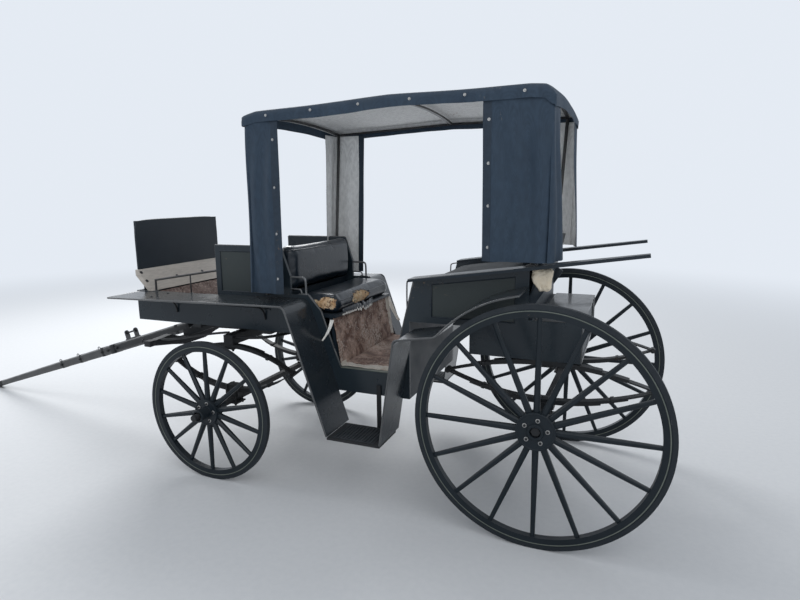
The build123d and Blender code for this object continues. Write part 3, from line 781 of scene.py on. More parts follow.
@dataclass(frozen=True)
class Finish:
    """One finish: its colours, gloss, relief, dust (on the pole also a painted highlight on its upward faces)
    and wear.
    """

    name: str
    colour: Colour
    second: Colour
    rough: tuple[float, float] = (0.35, 0.6)
    patch: float = 5.0
    sharpness: float = 2.0
    level: float = 0.5
    relief: Relief = Relief.BRUSHED
    relief_scale: float = 60.0
    depth: float = 0.0006
    strength: float = 0.35
    dust_and_highlight: float = 0.35
    dust_and_highlight_colour: Colour = (0.17, 0.175, 0.18)
    wear: float = 0.03
    wear_scale: float = 34.0
    worn: Colour = (0.16, 0.12, 0.09)
    metallic: float = 0.0
    coat: float = 0.0
    sheen: float = 0.0
    specular: float = 0.4
    stretch: Point = (1.0, 1.0, 1.0)

    def material(self) -> bpy.types.Material:
        """The finish's material, made the first time it is asked for."""
        made = bpy.data.materials.get(self.name)
        return made if made else self.make()

    def make(self) -> bpy.types.Material:
        """Wire the material.

        Returns:
            The new material.
        """
        material = bpy.data.materials.new(self.name)
        material.use_nodes = True
        wiring = Wiring(material.node_tree)
        source = wiring.add("TexCoord").outputs["Object"]
        vector = wiring.add("Mapping", {"Vector": source, "Scale": self.stretch}).outputs[0]

        def effect(tree: Tree, **numbers: float) -> Socket:
            """Place a shared group in the material.

            Args:
                tree: The group.
                **numbers: This finish's own numbers, by the group's input.

            Returns:
                The group's output.
            """
            node = wiring.add("Group", node_tree=tree)
            wiring.tree.links.new(vector, node.inputs["Vector"])
            for key, value in numbers.items():
                node.inputs[key].default_value = value
            return node.outputs[0]

        patches = effect(EFFECTS.mottle(), Scale=self.patch, Sharpness=self.sharpness, Level=self.level)
        worn = effect(EFFECTS.wear(), Scale=self.wear_scale, Amount=self.wear)
        # Dust on upward faces; on the pole the same mask paints the highlight along its top edges.
        dust_and_highlight = effect(EFFECTS.dust_and_highlight(), Scale=self.patch * 1.7, Amount=self.dust_and_highlight)
        height = effect(EFFECTS.relief(self.relief), Scale=self.relief_scale)
        colour = wiring.mix(patches, (*self.colour, 1), (*self.second, 1))
        if self.relief in (Relief.HAIR, Relief.GRAIN, Relief.WEAVE):
            gain = 2.2 if self.relief is Relief.HAIR else 0.8
            shade = wiring.sum("MULTIPLY_ADD", height, gain, 1.0 - gain / 2)
            colour = wiring.add("VectorMath", {0: colour, "Scale": shade}, operation="SCALE").outputs[0]
        colour = wiring.mix(worn, colour, (*self.worn, 1))
        colour = wiring.mix(dust_and_highlight, colour, (*self.dust_and_highlight_colour, 1))
        low, high = self.rough
        rough = wiring.sum("MULTIPLY_ADD", patches, high - low, low)
        rough = wiring.sum("MULTIPLY_ADD", wiring.sum("MAXIMUM", dust_and_highlight, worn), 0.35, rough, clamp=True)
        bump = wiring.add("Bump", {"Height": height, "Strength": self.strength, "Distance": self.depth})
        shader = wiring.add("BsdfPrincipled", {
            "Base Color": colour, "Roughness": rough, "Normal": bump.outputs[0], "Metallic": self.metallic,
            "Coat Weight": self.coat, "Coat Roughness": 0.16, "Sheen Weight": self.sheen,
            "Specular IOR Level": self.specular})
        wiring.add("OutputMaterial", {"Surface": shader.outputs[0]})
        return material


BODY_BLACK = Finish("body black paint", (0.006, 0.012, 0.019), (0.013, 0.021, 0.030), (0.28, 0.5), coat=0.05,
                    dust_and_highlight=0.16, relief_scale=26.0, strength=0.2, specular=0.25)
PANEL_BLACK = Finish("panel black paint", (0.008, 0.016, 0.024), (0.018, 0.028, 0.036), (0.2, 0.36), coat=0.1,
                     dust_and_highlight=0.18, relief_scale=18.0, strength=0.15, patch=2.4, specular=0.3)
# Lighter, greener black for the sunk fields: a painted reflection of the sky that lights the panels.
FIELD_BLACK = Finish("panel field with painted reflection", (0.024, 0.034, 0.036), (0.038, 0.047, 0.046), (0.3, 0.5), coat=0.05,
                     dust_and_highlight=0.22, relief_scale=14.0, strength=0.12, patch=3.2, specular=0.3)
WING_BLACK = Finish("wing black enamel", (0.008, 0.015, 0.022), (0.017, 0.025, 0.032), (0.16, 0.32), coat=0.2,
                    dust_and_highlight=0.18, relief_scale=12.0, strength=0.10, patch=2.0, wear=0.02, specular=0.3,
                    dust_and_highlight_colour=(0.16, 0.145, 0.13))
# Lighter black for beads and edges: partly rubbed paint, partly a painted highlight where the edges catch the
# sky's light.
EDGE_BLACK = Finish("rubbed edge with painted highlight", (0.040, 0.044, 0.047), (0.085, 0.088, 0.090), (0.22, 0.4), patch=16.0,
                    coat=0.3, dust_and_highlight=0.25, wear=0.06, worn=(0.17, 0.165, 0.155))
WHEEL_BLACK = Finish("wheel black paint", (0.003, 0.008, 0.012), (0.009, 0.015, 0.021), (0.3, 0.5), coat=0.05,
                     dust_and_highlight=0.14, wear=0.03, relief_scale=40.0, specular=0.25)
TYRE_RUBBER = Finish("tyre rubber", (0.009, 0.014, 0.020), (0.022, 0.027, 0.032), (0.62, 0.85), patch=9.0,
                     relief=Relief.PITTED, relief_scale=120.0, dust_and_highlight=0.35, specular=0.25)
GEAR_IRON = Finish("gear iron", (0.007, 0.010, 0.013), (0.022, 0.022, 0.023), (0.4, 0.66),
                   relief=Relief.PITTED, relief_scale=90.0, dust_and_highlight=0.3, wear=0.05, worn=(0.10, 0.055, 0.032),
                   specular=0.3)
# The pole's heavy pale dust on its upward faces is partly dust and partly a painted highlight along its top
# edges.
POLE_PAINT = Finish("pole black paint", (0.016, 0.019, 0.022), (0.050, 0.050, 0.050), (0.35, 0.6), patch=7.0,
                    relief=Relief.GRAIN, relief_scale=120.0, depth=0.001, strength=0.5, dust_and_highlight=0.85, wear=0.06,
                    worn=(0.20, 0.17, 0.14), dust_and_highlight_colour=(0.42, 0.42, 0.42), coat=0.1, specular=0.4)
BARE_WOOD = Finish("bare weathered wood", (0.40, 0.355, 0.305), (0.60, 0.56, 0.51), (0.7, 0.88), patch=6.0,
                   relief=Relief.GRAIN, relief_scale=150.0, depth=0.0015, strength=0.7, dust_and_highlight=0.15, wear=0.05,
                   worn=(0.16, 0.11, 0.08), stretch=(1.0, 0.12, 1.0), specular=0.3)
DASH_LEATHER = Finish("dash leather", (0.008, 0.014, 0.021), (0.017, 0.025, 0.034), (0.42, 0.62), coat=0.05,
                      relief=Relief.CREASED, relief_scale=70.0, depth=0.0008, dust_and_highlight=0.22, specular=0.3)
VINYL = Finish("black seat vinyl", (0.004, 0.009, 0.015), (0.010, 0.017, 0.026), (0.22, 0.38), coat=0.15,
               relief=Relief.CREASED, relief_scale=34.0, depth=0.0022, strength=0.45, dust_and_highlight=0.06, patch=6.0,
               dust_and_highlight_colour=(0.13, 0.135, 0.14), specular=0.35)
DULL_VINYL = Finish("worn seat vinyl", (0.005, 0.009, 0.013), (0.012, 0.017, 0.022), (0.62, 0.8),
                    relief=Relief.CREASED, relief_scale=34.0, depth=0.0022, strength=0.45, dust_and_highlight=0.1,
                    patch=6.0, specular=0.1)
HIDE = Finish("brindled brown hide", (0.110, 0.048, 0.029), (0.42, 0.295, 0.235), (0.78, 0.95), patch=10.0,
              sharpness=5.0, level=0.53, relief=Relief.HAIR, relief_scale=75.0, depth=0.004, strength=0.7,
              dust_and_highlight=0.06, wear=0.13, wear_scale=70.0, worn=(0.52, 0.43, 0.37), sheen=0.2, specular=0.2)
DARK_HIDE = Finish("dark brown hide", (0.075, 0.040, 0.032), (0.20, 0.145, 0.125), (0.78, 0.95), patch=14.0,
                   sharpness=4.0, level=0.52, relief=Relief.HAIR, relief_scale=85.0, depth=0.004,
                   strength=0.7, dust_and_highlight=0.06, wear=0.14, wear_scale=60.0, worn=(0.34, 0.27, 0.23), sheen=0.2,
                   specular=0.2)
PALE_HIDE = Finish("pale hide", (0.62, 0.57, 0.50), (0.36, 0.27, 0.20), (0.78, 0.95), patch=6.0,
                   sharpness=4.0, level=0.6, relief=Relief.HAIR, relief_scale=420.0, depth=0.004,
                   strength=0.9, dust_and_highlight=0.3, wear=0.06, wear_scale=60.0, worn=(0.16, 0.085, 0.05), sheen=0.25,
                   specular=0.2)
CANVAS = Finish("charcoal canvas", (0.020, 0.036, 0.058), (0.036, 0.056, 0.082), (0.6, 0.84), patch=2.6,
                relief=Relief.WEAVE, relief_scale=260.0, depth=0.0008, strength=0.4, dust_and_highlight=0.3,
                dust_and_highlight_colour=(0.15, 0.155, 0.165), stretch=(1.0, 1.0, 0.4), wear=0.03, worn=(0.14, 0.14, 0.14),
                specular=0.25)
LINING = Finish("cream lining", (0.68, 0.685, 0.68), (0.80, 0.80, 0.79), (0.8, 0.95), patch=2.0,
                relief=Relief.WEAVE, relief_scale=240.0, depth=0.0006, strength=0.3, dust_and_highlight=0.1,
                wear=0.06, wear_scale=70.0, worn=(0.24, 0.18, 0.13), stretch=(1.0, 1.0, 0.5), specular=0.2)
FOAM = Finish("seat foam", (0.56, 0.33, 0.16), (0.78, 0.62, 0.42), (0.85, 0.98), patch=22.0, sharpness=4.0,
              relief=Relief.FOAM, relief_scale=160.0, depth=0.003, strength=0.8, dust_and_highlight=0.15, wear=0.13,
              wear_scale=50.0, worn=(0.17, 0.09, 0.05), specular=0.2)
PALE_FOAM = Finish("pale stuffing", (0.80, 0.68, 0.50), (0.90, 0.83, 0.70), (0.85, 0.98), patch=18.0,
                   relief=Relief.FOAM, relief_scale=120.0, depth=0.004, strength=0.9, dust_and_highlight=0.1, wear=0.06,
                   wear_scale=50.0, worn=(0.45, 0.33, 0.20), specular=0.2)
FRAY = Finish("frayed backing", (0.88, 0.87, 0.83), (0.70, 0.68, 0.63), (0.85, 0.98), patch=30.0,
              relief=Relief.WEAVE, relief_scale=300.0, dust_and_highlight=0.1, wear=0.05, specular=0.2)
TUBE_STEEL = Finish("dark tube", (0.016, 0.017, 0.019), (0.036, 0.035, 0.034), (0.25, 0.45), coat=0.1,
                    dust_and_highlight=0.3)
RAIL_STEEL = Finish("rubbed rail", (0.10, 0.105, 0.11), (0.20, 0.205, 0.21), (0.22, 0.42), patch=30.0,
                    relief=Relief.PITTED, relief_scale=200.0, dust_and_highlight=0.25, metallic=0.4)
BRIGHT_STEEL = Finish("worn bright steel", (0.50, 0.50, 0.50), (0.34, 0.33, 0.31), (0.22, 0.45), patch=40.0,
                      relief=Relief.PITTED, relief_scale=200.0, dust_and_highlight=0.25, metallic=1.0)
RIM_LINE = Finish("rim line", (0.075, 0.092, 0.080), (0.15, 0.165, 0.14), (0.4, 0.6), patch=20.0,
                  relief=Relief.PITTED, relief_scale=200.0, dust_and_highlight=0.3)
CANVAS_HEM = Finish("canvas hem", (0.013, 0.023, 0.038), (0.024, 0.038, 0.056), (0.55, 0.8), patch=6.0,
                    relief=Relief.WEAVE, relief_scale=260.0, depth=0.0008, strength=0.4, dust_and_highlight=0.35,
                    specular=0.3)


def dressed(piece: Piece, finish: Finish | Sequence[Finish]) -> Piece:
    """Give a piece its finish, or one finish for each of its material slots.

    Args:
        piece: The piece.
        finish: The finish or finishes.

    Returns:
        The same piece.
    """
    finishes = [finish] if isinstance(finish, Finish) else list(finish)
    slots = piece.data.materials
    for index, one in enumerate(finishes):
        if index < len(slots):
            slots[index] = one.material()
        else:
            slots.append(one.material())
    return piece


@dataclass
class Assembly:
    """A sub-assembly of the carriage, and the body that its pieces ride on."""

    rider: Rider = Rider.ROOT

    def keep(self, piece: Piece, finish: Finish | Sequence[Finish], slot: str,
             rider: Rider | str | None = None, replaces: Sequence[str] = ()) -> Piece:
        """Dress a finished piece and fix it to its body.

        Args:
            piece: The piece.
            finish: Its finish, or one for each of its material slots.
            slot: Not used.
            rider: Its body, where that isn't the sub-assembly's own.
            replaces: Nodes of the frame that it stands for.

        Returns:
            The same piece.
        """
        dressed(piece, finish)
        body = rider or self.rider
        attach(piece, body.value if isinstance(body, Rider) else body)
        if replaces:
            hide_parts(*replaces)
        return piece

    def keep_both(self, name: str, left: Piece, finish: Finish | Sequence[Finish], slot: str,
                  replaces: Sequence[str] = ()) -> Piece:
        """Keep a left-hand piece joined with its mirror image.

        Args:
            name: The joined piece's name.
            left: The left-hand piece.
            finish: Its finish or finishes.
            slot: Not used, but passed on to keep.
            replaces: Nodes of the frame that it stands for.

        Returns:
            The joined piece.
        """
        dressed(left, finish)
        return self.keep(fused(name, [left, mirrored(name, left)]), finish, slot, replaces=replaces)


@dataclass
class Studio:
    """The camera where the photograph was taken, a pale floor and soft lights."""

    eye: Point = (-2.579, 3.272, 1.717)
    focal_px: float = 569.6
    width_px: float = 800.0
    sensor: float = 36.0
    yaw: float = 22.29
    pitch: float = 10.47
    roll: float = -0.578
    floor_size: float = 240.0
    backdrop: tuple[float, float, float, float] = (0.78, 0.83, 0.90, 1.0)
    daylight: float = 0.62

    def camera(self) -> None:
        """Add the camera at the photograph's viewing angle."""
        yaw, pitch, roll = (radians(turn) for turn in (self.yaw, self.pitch, self.roll))
        ahead = Vector((sin(yaw) * cos(pitch), -cos(yaw) * cos(pitch), -sin(pitch)))
        level = Vector((-cos(yaw), -sin(yaw), 0))
        upward = level.cross(ahead)
        right = cos(roll) * level + sin(roll) * upward
        up = cos(roll) * upward - sin(roll) * level
        turn = Matrix((right, up, -ahead)).transposed()
        deselect()
        bpy.ops.object.camera_add(location=self.eye, rotation=turn.to_euler())
        camera = bpy.context.object
        camera.name = "photograph_view"
        camera.data.sensor_width = self.sensor
        camera.data.lens = self.focal_px * self.sensor / self.width_px
        camera.data.clip_end = 200.0
        bpy.context.scene.camera = camera

    def lamp(self, name: str, place: Point, aim: Point, size: float, power: float) -> None:
        """Add one soft square lamp.

        Args:
            name: Its name.
            place: Where it stands.
            aim: What it points at.
            size: Its side.
            power: Its power in watts.
        """
        deselect()
        turn = (Vector(aim) - Vector(place)).to_track_quat("-Z", "Y").to_euler()
        bpy.ops.object.light_add(type="AREA", location=place, rotation=turn)
        lamp = bpy.context.object
        lamp.name = name
        lamp.data.size = size
        lamp.data.energy = power

    def floor(self) -> None:
        """Lay the pale floor."""
        deselect()
        bpy.ops.mesh.primitive_plane_add(size=self.floor_size)
        floor = called("floor")
        material = bpy.data.materials.new("pale floor")
        material.use_nodes = True
        wiring = Wiring(material.node_tree)
        source = wiring.add("TexCoord").outputs["Object"]
        grit = wiring.cloud(source, 30.0, 6.0)
        colour = wiring.mix(grit, (0.66, 0.675, 0.69, 1), (0.73, 0.74, 0.75, 1))
        away = wiring.add("VectorMath", {0: source}, operation="LENGTH").outputs["Value"]
        far = wiring.add("MapRange", {"Value": away, "From Min": 3.3, "From Max": 12.0},
                         interpolation_type="SMOOTHSTEP").outputs["Result"]
        shader = wiring.add("BsdfPrincipled", {
            "Base Color": wiring.mix(far, colour, (0, 0, 0, 1)), "Roughness": 0.95, "Specular IOR Level": 0.0,
            "Emission Color": wiring.mix(far, (0, 0, 0, 1), self.backdrop), "Emission Strength": 1.0})
        wiring.add("OutputMaterial", {"Surface": shader.outputs[0]})
        floor.data.materials.append(material)

    def world(self) -> None:
        """Surround the carriage with a pale backdrop and dim daylight."""
        world = bpy.data.worlds.new("daylight")
        world.use_nodes = True
        bpy.context.scene.world = world
        wiring = Wiring(world.node_tree)
        path = wiring.add("LightPath")
        through = wiring.sum("MAXIMUM", path.outputs["Is Glossy Ray"], path.outputs["Is Transmission Ray"])
        seen = wiring.sum("MAXIMUM", path.outputs["Is Camera Ray"], through)
        strength = wiring.sum("MULTIPLY_ADD", seen, 1.0 - self.daylight, self.daylight)
        sky = wiring.add("Background", {"Color": self.backdrop, "Strength": strength})
        wiring.add("OutputWorld", {"Surface": sky.outputs[0]})

    def build(self) -> None:
        """Set the whole studio up."""
        bpy.context.scene.view_settings.view_transform = "Standard"
        self.camera()
        self.floor()
        self.world()
        self.lamp("key", (3.2, -5.0, 6.0), (0, 0, 0.9), 4.0, 460.0)
        self.lamp("fill", (-4.0, 5.5, 5.0), (0, 0, 0.9), 6.0, 130.0)
        self.lamp("rim", (6.0, 1.0, 4.5), (0, 0, 0.9), 3.0, 90.0)


@dataclass
class FrameFinishes:
    """Finishes of the nodes that stay as the frame has them."""

    finishes: dict[Finish, Sequence[str]] = field(default_factory=lambda: {
        WHEEL_BLACK: [f"{end}_wheel_{side}" for end in ("front", "rear") for side in SIDES],
        TYRE_RUBBER: [f"{end}_tyre_{side}" for end in ("front", "rear") for side in SIDES],
        GEAR_IRON: ["rear_axle", "front_axle", "front_springs", "rear_springs", "front_bolster",
                    "fifth_wheel_upper", "futchells", "splinter_bar", "pole_braces", "pole_pin", "steps"],
        POLE_PAINT: ["pole"],
        PANEL_BLACK: ["body_side_left", "body_side_right"],
        BODY_BLACK: ["boot", "footwell_floor", "driver_seat_box", "guest_seat_box", "entrance_well",
                     "rear_seat_box", "top_rails"],
        WING_BLACK: ["front_wings", "rear_wings"],
        BARE_WOOD: ["toe_board"],
        DASH_LEATHER: ["dash"],
        TUBE_STEEL: ["hand_rails", "canopy_frame"],
    })

    def build(self) -> None:
        """Give each node its material."""
        for finish, nodes in self.finishes.items():
            for name in nodes:
                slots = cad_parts[name].data.materials
                slots.clear()
                slots.append(finish.material())
                log.info("%s has %s", name, finish.name)


@dataclass
class WheelFittings(Assembly):
    """Rim lines, flange bolts and hub rings of one wheel."""

    end: str = "rear"
    side: str = "left"
    line_in: float = 0.030
    line_half: float = 0.0024
    line_proud: float = 0.0012
    felloe_half: float = 0.017
    bolt_ring: float = 0.058
    bolts: int = 5
    flange_face: float = 0.025
    flange_radius: float = 0.095
    nose: float = 0.034
    nose_radius: float = 0.035

    def hoop(self, centre: Vector, inner: float, outer: float, foot: float, height: float,
             steps: int) -> Piece:
        """A flat ring with rounded edges round the wheel's axis.

        Args:
            centre: The wheel's middle.
            inner: Its inner radius.
            outer: Its outer radius.
            foot: Where it stands, from the wheel's middle plane.
            height: How far it stands out, below 0 on the inner side.
            steps: Facets round it.

        Returns:
            The ring.
        """
        brim = (outer - inner) * 0.2
        return turned("hoop", [(inner, foot - height * 0.3), (inner, foot + height * 0.6),
                               (inner + brim, foot + height), (outer - brim, foot + height),
                               (outer, foot + height * 0.6), (outer, foot - height * 0.3)], centre, steps)

    def build(self) -> None:
        """Make the wheel's fittings."""
        label = f"{self.end}_{{}}_{self.side}"
        body = f"{self.end}_{self.side}_wheel"
        low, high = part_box(label.format("tyre"))
        centre = (low + high) / 2
        radius = (high.z - low.z) / 2
        out = SIDES[self.side]

        line = radius - self.line_in
        lines = [self.hoop(centre, line - self.line_half, line + self.line_half, way * self.felloe_half,
                           way * self.line_proud, 128) for way in (1, -1)]
        self.keep(fused(label.format("rim_line"), lines), RIM_LINE, "wheel_black", body)

        washers, nuts = [], []
        for way in (out, -out):
            for i in range(self.bolts):
                turn = radians(8 + 360 / self.bolts * i)
                place = centre + Vector((-self.bolt_ring * cos(turn), way * self.flange_face,
                                         self.bolt_ring * sin(turn)))
                washers.append(facing(Vector((0, way, 0)), place))
                nuts.append(facing(Vector((0, way, 0)), place + Vector((0, way * 0.001, 0))))
        discs = repeated(label.format("hub_washers"), washer(0.0058, 0.0108, 0.0032), washers)
        self.keep(discs, BRIGHT_STEEL, "gear_iron", body)
        self.keep(repeated(label.format("hub_nuts"), nut(*HUB_NUT), nuts), GEAR_IRON, "gear_iron", body)

        flange, nose, face = self.flange_radius, self.nose_radius, self.flange_face
        rings = [self.hoop(centre, *sizes) for sizes in (
            (flange - 0.009, flange - 0.001, face, 0.0025, 64),
            (flange - 0.009, flange - 0.001, -face, -0.0025, 64),
            (nose - 0.006, nose + 0.0035, out * (self.nose - 0.006), out * 0.0065, 48),
            (nose - 0.001, nose + 0.006, out * face, out * 0.005, 48))]
        self.keep(fused(label.format("hub_rings"), rings), WHEEL_BLACK, "wheel_black", body)


@dataclass
class Cushion(Assembly):
    """A stuffed vinyl pad that takes the place of its node in the frame."""

    node: str = ""
    cap: float = 0.012
    slack: float = 0.012
    edge: float = 0.022
    voxel: float = 0.008
    lean: float = 0.0
    sag: float = 0.0
    fill: float = 0.75
    cover: Finish = VINYL
    tears: Sequence[tuple[Point, Point]] = ()
    tear_depth: float = 0.007
    curl: float = 0.0022
    curl_width: float = 0.12
    piping: float = 0.004
    corner: float = 0.035

    def inflate(self, piece: Piece, low: Vector, high: Vector) -> None:
        """Swell the pad with a short cloth simulation, held inside its space.

        Args:
            piece: The pad.
            low: Lowest corner of its space.
            high: Highest corner of its space.
        """
        scene = bpy.context.scene
        start = [vertex.co.copy() for vertex in piece.data.vertices]
        pick(piece)
        cloth = piece.modifiers.new("stuffing", "CLOTH")
        cloth.settings.use_pressure = True
        cloth.settings.uniform_pressure_force = 4.0
        cloth.settings.effector_weights.gravity = 0.0
        cloth.settings.quality = 4
        for number in range(1, 21):
            scene.frame_set(number)
        bpy.ops.object.modifier_apply(modifier=cloth.name)
        scene.frame_set(1)
        for vertex, before in zip(piece.data.vertices, start):
            moved = vertex.co - before
            if moved.length > self.cap:
                moved *= self.cap / moved.length
            vertex.co = before + moved
            for axis in range(3):
                vertex.co[axis] = min(max(vertex.co[axis], low[axis]), high[axis])

    def torn(self, point: Vector) -> float:
        """How far inside the nearest tear a point lies, from 0 at its ragged edge.

        Args:
            point: A point of the pad's surface.

        Returns:
            A number above 0 inside a tear.
        """
        ragged = 0.28 * noise.noise(point * 42) + 0.18 * noise.noise(point * 110)
        inside = -1.0
        for middle, reach in self.tears:
            away = point - at(*middle)
            inside = max(inside, 1 - hypot(*(away[axis] / reach[axis] for axis in range(3))))
        return inside + ragged

    def tear(self, piece: Piece) -> None:
        """Open the tears: sunk lumpy foam with the cover curled up round it.

        Args:
            piece: The pad.
        """
        piece.data.materials.append(None)
        piece.data.materials.append(None)
        normals = [vertex.normal.copy() for vertex in piece.data.vertices]
        depth = [self.torn(vertex.co) for vertex in piece.data.vertices]
        for polygon in piece.data.polygons:
            if min(depth[index] for index in polygon.vertices) > 0:
                polygon.material_index = 1
        for vertex, normal, inside in zip(piece.data.vertices, normals, depth):
            if inside > 0:
                lump = 0.5 + 0.5 * noise.noise(vertex.co * 70)
                vertex.co -= normal * self.tear_depth * min(1, inside * 5) * (0.5 + 0.6 * lump)
            elif inside > -self.curl_width:
                vertex.co += normal * self.curl * (1 + inside / self.curl_width)

    def welt(self, piece: Piece, low: Vector, high: Vector) -> Piece:
        """A piped seam round the pad's upper edge.

        Args:
            piece: The pad.
            low: Lowest corner of its space.
            high: Highest corner of its space.

        Returns:
            The piping.
        """
        level = high.z - self.edge * 0.62
        line = []
        for turn_x, turn_y, start in ((1, 1, 0), (-1, 1, 90), (-1, -1, 180), (1, -1, 270)):
            middle = Vector(((high.x if turn_x > 0 else low.x) - turn_x * self.corner,
                             (high.y if turn_y > 0 else low.y) - turn_y * self.corner, level))
            for turn in (radians(start + step) for step in (0, 30, 60, 90)):
                line.append(middle + self.corner * Vector((cos(turn), sin(turn), 0)))
        long_line = []
        for here, there in zip(line, line[1:] + line[:1]):
            steps = max(1, round((there - here).length / 0.04))
            long_line += [here.lerp(there, i / steps) for i in range(steps)]
        seated = []
        for point in long_line:
            found, place, normal, _ = piece.closest_point_on_mesh(point)
            seated.append(place + normal * 0.0006 if found else point)
        return pipe(f"{piece.name}_piping", seated, self.piping, closed=True, detail=2)

    def build(self) -> Piece:
        """Make the pad and its piping.

        Returns:
            The pad.
        """
        low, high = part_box(self.node)
        low = low + Vector((self.lean, 0, 0))
        inner = Vector((self.slack, self.slack, self.slack))
        foot = low + inner - Vector((0, 0, self.slack * 0.8))
        piece = block(f"{self.node}_pad", foot, high - inner, self.edge, 4)
        modify(piece, "REMESH", mode="VOXEL", voxel_size=self.voxel)
        self.inflate(piece, low, high)
        modify(piece, "SMOOTH", factor=0.6, iterations=4)
        modify(piece, "SUBSURF", levels=1, render_levels=1)
        piping = self.welt(piece, low, high)
        if self.tears:
            for vertex in piping.data.vertices:
                if self.torn(vertex.co) > -0.06:
                    vertex.co = vertex.co.lerp((low + high) / 2, 0.30)
            self.tear(piece)
        for part in (piece, piping):
            for vertex in part.data.vertices:
                up = (vertex.co.z - low.z) / (high.z - low.z)
                ahead = (vertex.co.x - low.x) / (high.x - low.x)
                vertex.co.z -= self.sag * up * ahead ** 2
                vertex.co.x -= self.lean * up
        shaded(piece)
        finishes = (self.cover, FOAM) if self.tears else self.cover
        self.keep(piece, finishes, "seat_vinyl", replaces=[self.node])
        self.keep(piping, self.cover, "seat_vinyl")
        return piece


@dataclass
class SpringFittings(Assembly):
    """Clips, bands, eye bolts and axle plates of one end's pair of springs."""

    end: str = "rear"
    y: float = 0.395
    eye_z: float = 0.775
    upper_z: float = 0.860
    lower_z: float = 0.671
    bridge_z: float = 0.6795
    clamp_z: float = 0.850
    axle_z: float = 0.610
    axle_half: float = 0.017
    eye_radius: float = 0.015
    leaf_half: float = 0.0225
    leg: float = 0.0042
    bolt_x: float = 0.030
    bolt_y: float = 0.0355
    bolt_tail: float = 0.022
    bolt_bend: float = 0.012
    plate: float = 0.009

    def clip(self, middle_x: float) -> list[Piece]:
        """The two U-bolts that hold one spring to its axle, with their plates.

        Args:
            middle_x: The axle's place in the frame.

        Returns:
            The bolts and plates.
        """
        under = self.axle_z - self.axle_half
        foot = Vector((middle_x, self.y, under))
        saddle = Vector((middle_x, self.y, self.bridge_z))
        parts = [slab("axle_plate", foot, (0.048, 0.046), self.plate, 0),
                 slab("saddle", saddle, (0.043, 0.031), 0.0045, 0.0015)]
        up = (under - self.bolt_tail, self.bridge_z - self.bolt_bend, self.bridge_z, self.bridge_z)
        for x in (-self.bolt_x, self.bolt_x):
            line = [Vector((middle_x + x, self.y + side * self.bolt_y, height))
                    for side, heights in ((-1, up), (1, up[::-1])) for height in heights]
            parts.append(pipe("clip", line, self.leg, detail=2))
        return parts

    def bands(self, middle_x: float, reach: float) -> list[Piece]:
        """The small bands that hold the leaves together.

        Args:
            middle_x: The spring's middle.
            reach: Half its length between the eyes.

        Returns:
            The bands.
        """
        made = []
        for share in (-0.62, 0.62):
            for peak, lift in ((self.upper_z, 0.004), (self.lower_z, -0.004)):
                rise = self.eye_z - peak
                place = Vector((middle_x + share * reach, self.y, peak + rise * share ** 2 + lift))
                band = block("band", Vector((-0.009, -0.0265, -0.011)), Vector((0.009, 0.0265, 0.011)), 0.002)
                band.data.transform(Matrix.Translation(place)
                                    @ Matrix.Rotation(-2 * share * rise / reach, 4, "Y"))
                made.append(band)
        return made

    def build(self) -> None:
        """Make the fittings of both springs."""
        low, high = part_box(f"{self.end}_springs")
        middle_x = (low.x + high.x) / 2
        reach = (high.x - low.x) / 2 - self.eye_radius
        under = self.axle_z - self.axle_half - self.plate
        parts, places = self.clip(middle_x) + self.bands(middle_x, reach), []
        for x in (-reach, reach):
            eye = Vector((middle_x + x, self.y, self.eye_z))
            out = Vector((0, self.leaf_half + 0.003, 0))
            parts.append(bar("eye_bolt", eye - out * 1.15, eye + out * 1.15, 0.006))
            places += [facing(way * out, eye + way * out) for way in (1, -1)]
        for x in (-self.bolt_x, self.bolt_x):
            for side in (-self.bolt_y, self.bolt_y):
                for y, z in ((side, under), (side * 0.76, self.clamp_z)):
                    places.append(facing(Vector((0, 0, -1)), Vector((middle_x + x, self.y + y, z))))
        parts.append(slab("clamp", Vector((middle_x, self.y, self.clamp_z)), (0.042, 0.036), 0, 0.006))
        self.keep_both(f"{self.end}_spring_clips", fused("clips", parts), GEAR_IRON, "gear_iron")
        nuts = repeated("nuts", nut(*SPRING_NUT), places)
        self.keep_both(f"{self.end}_spring_nuts", nuts, GEAR_IRON, "gear_iron")


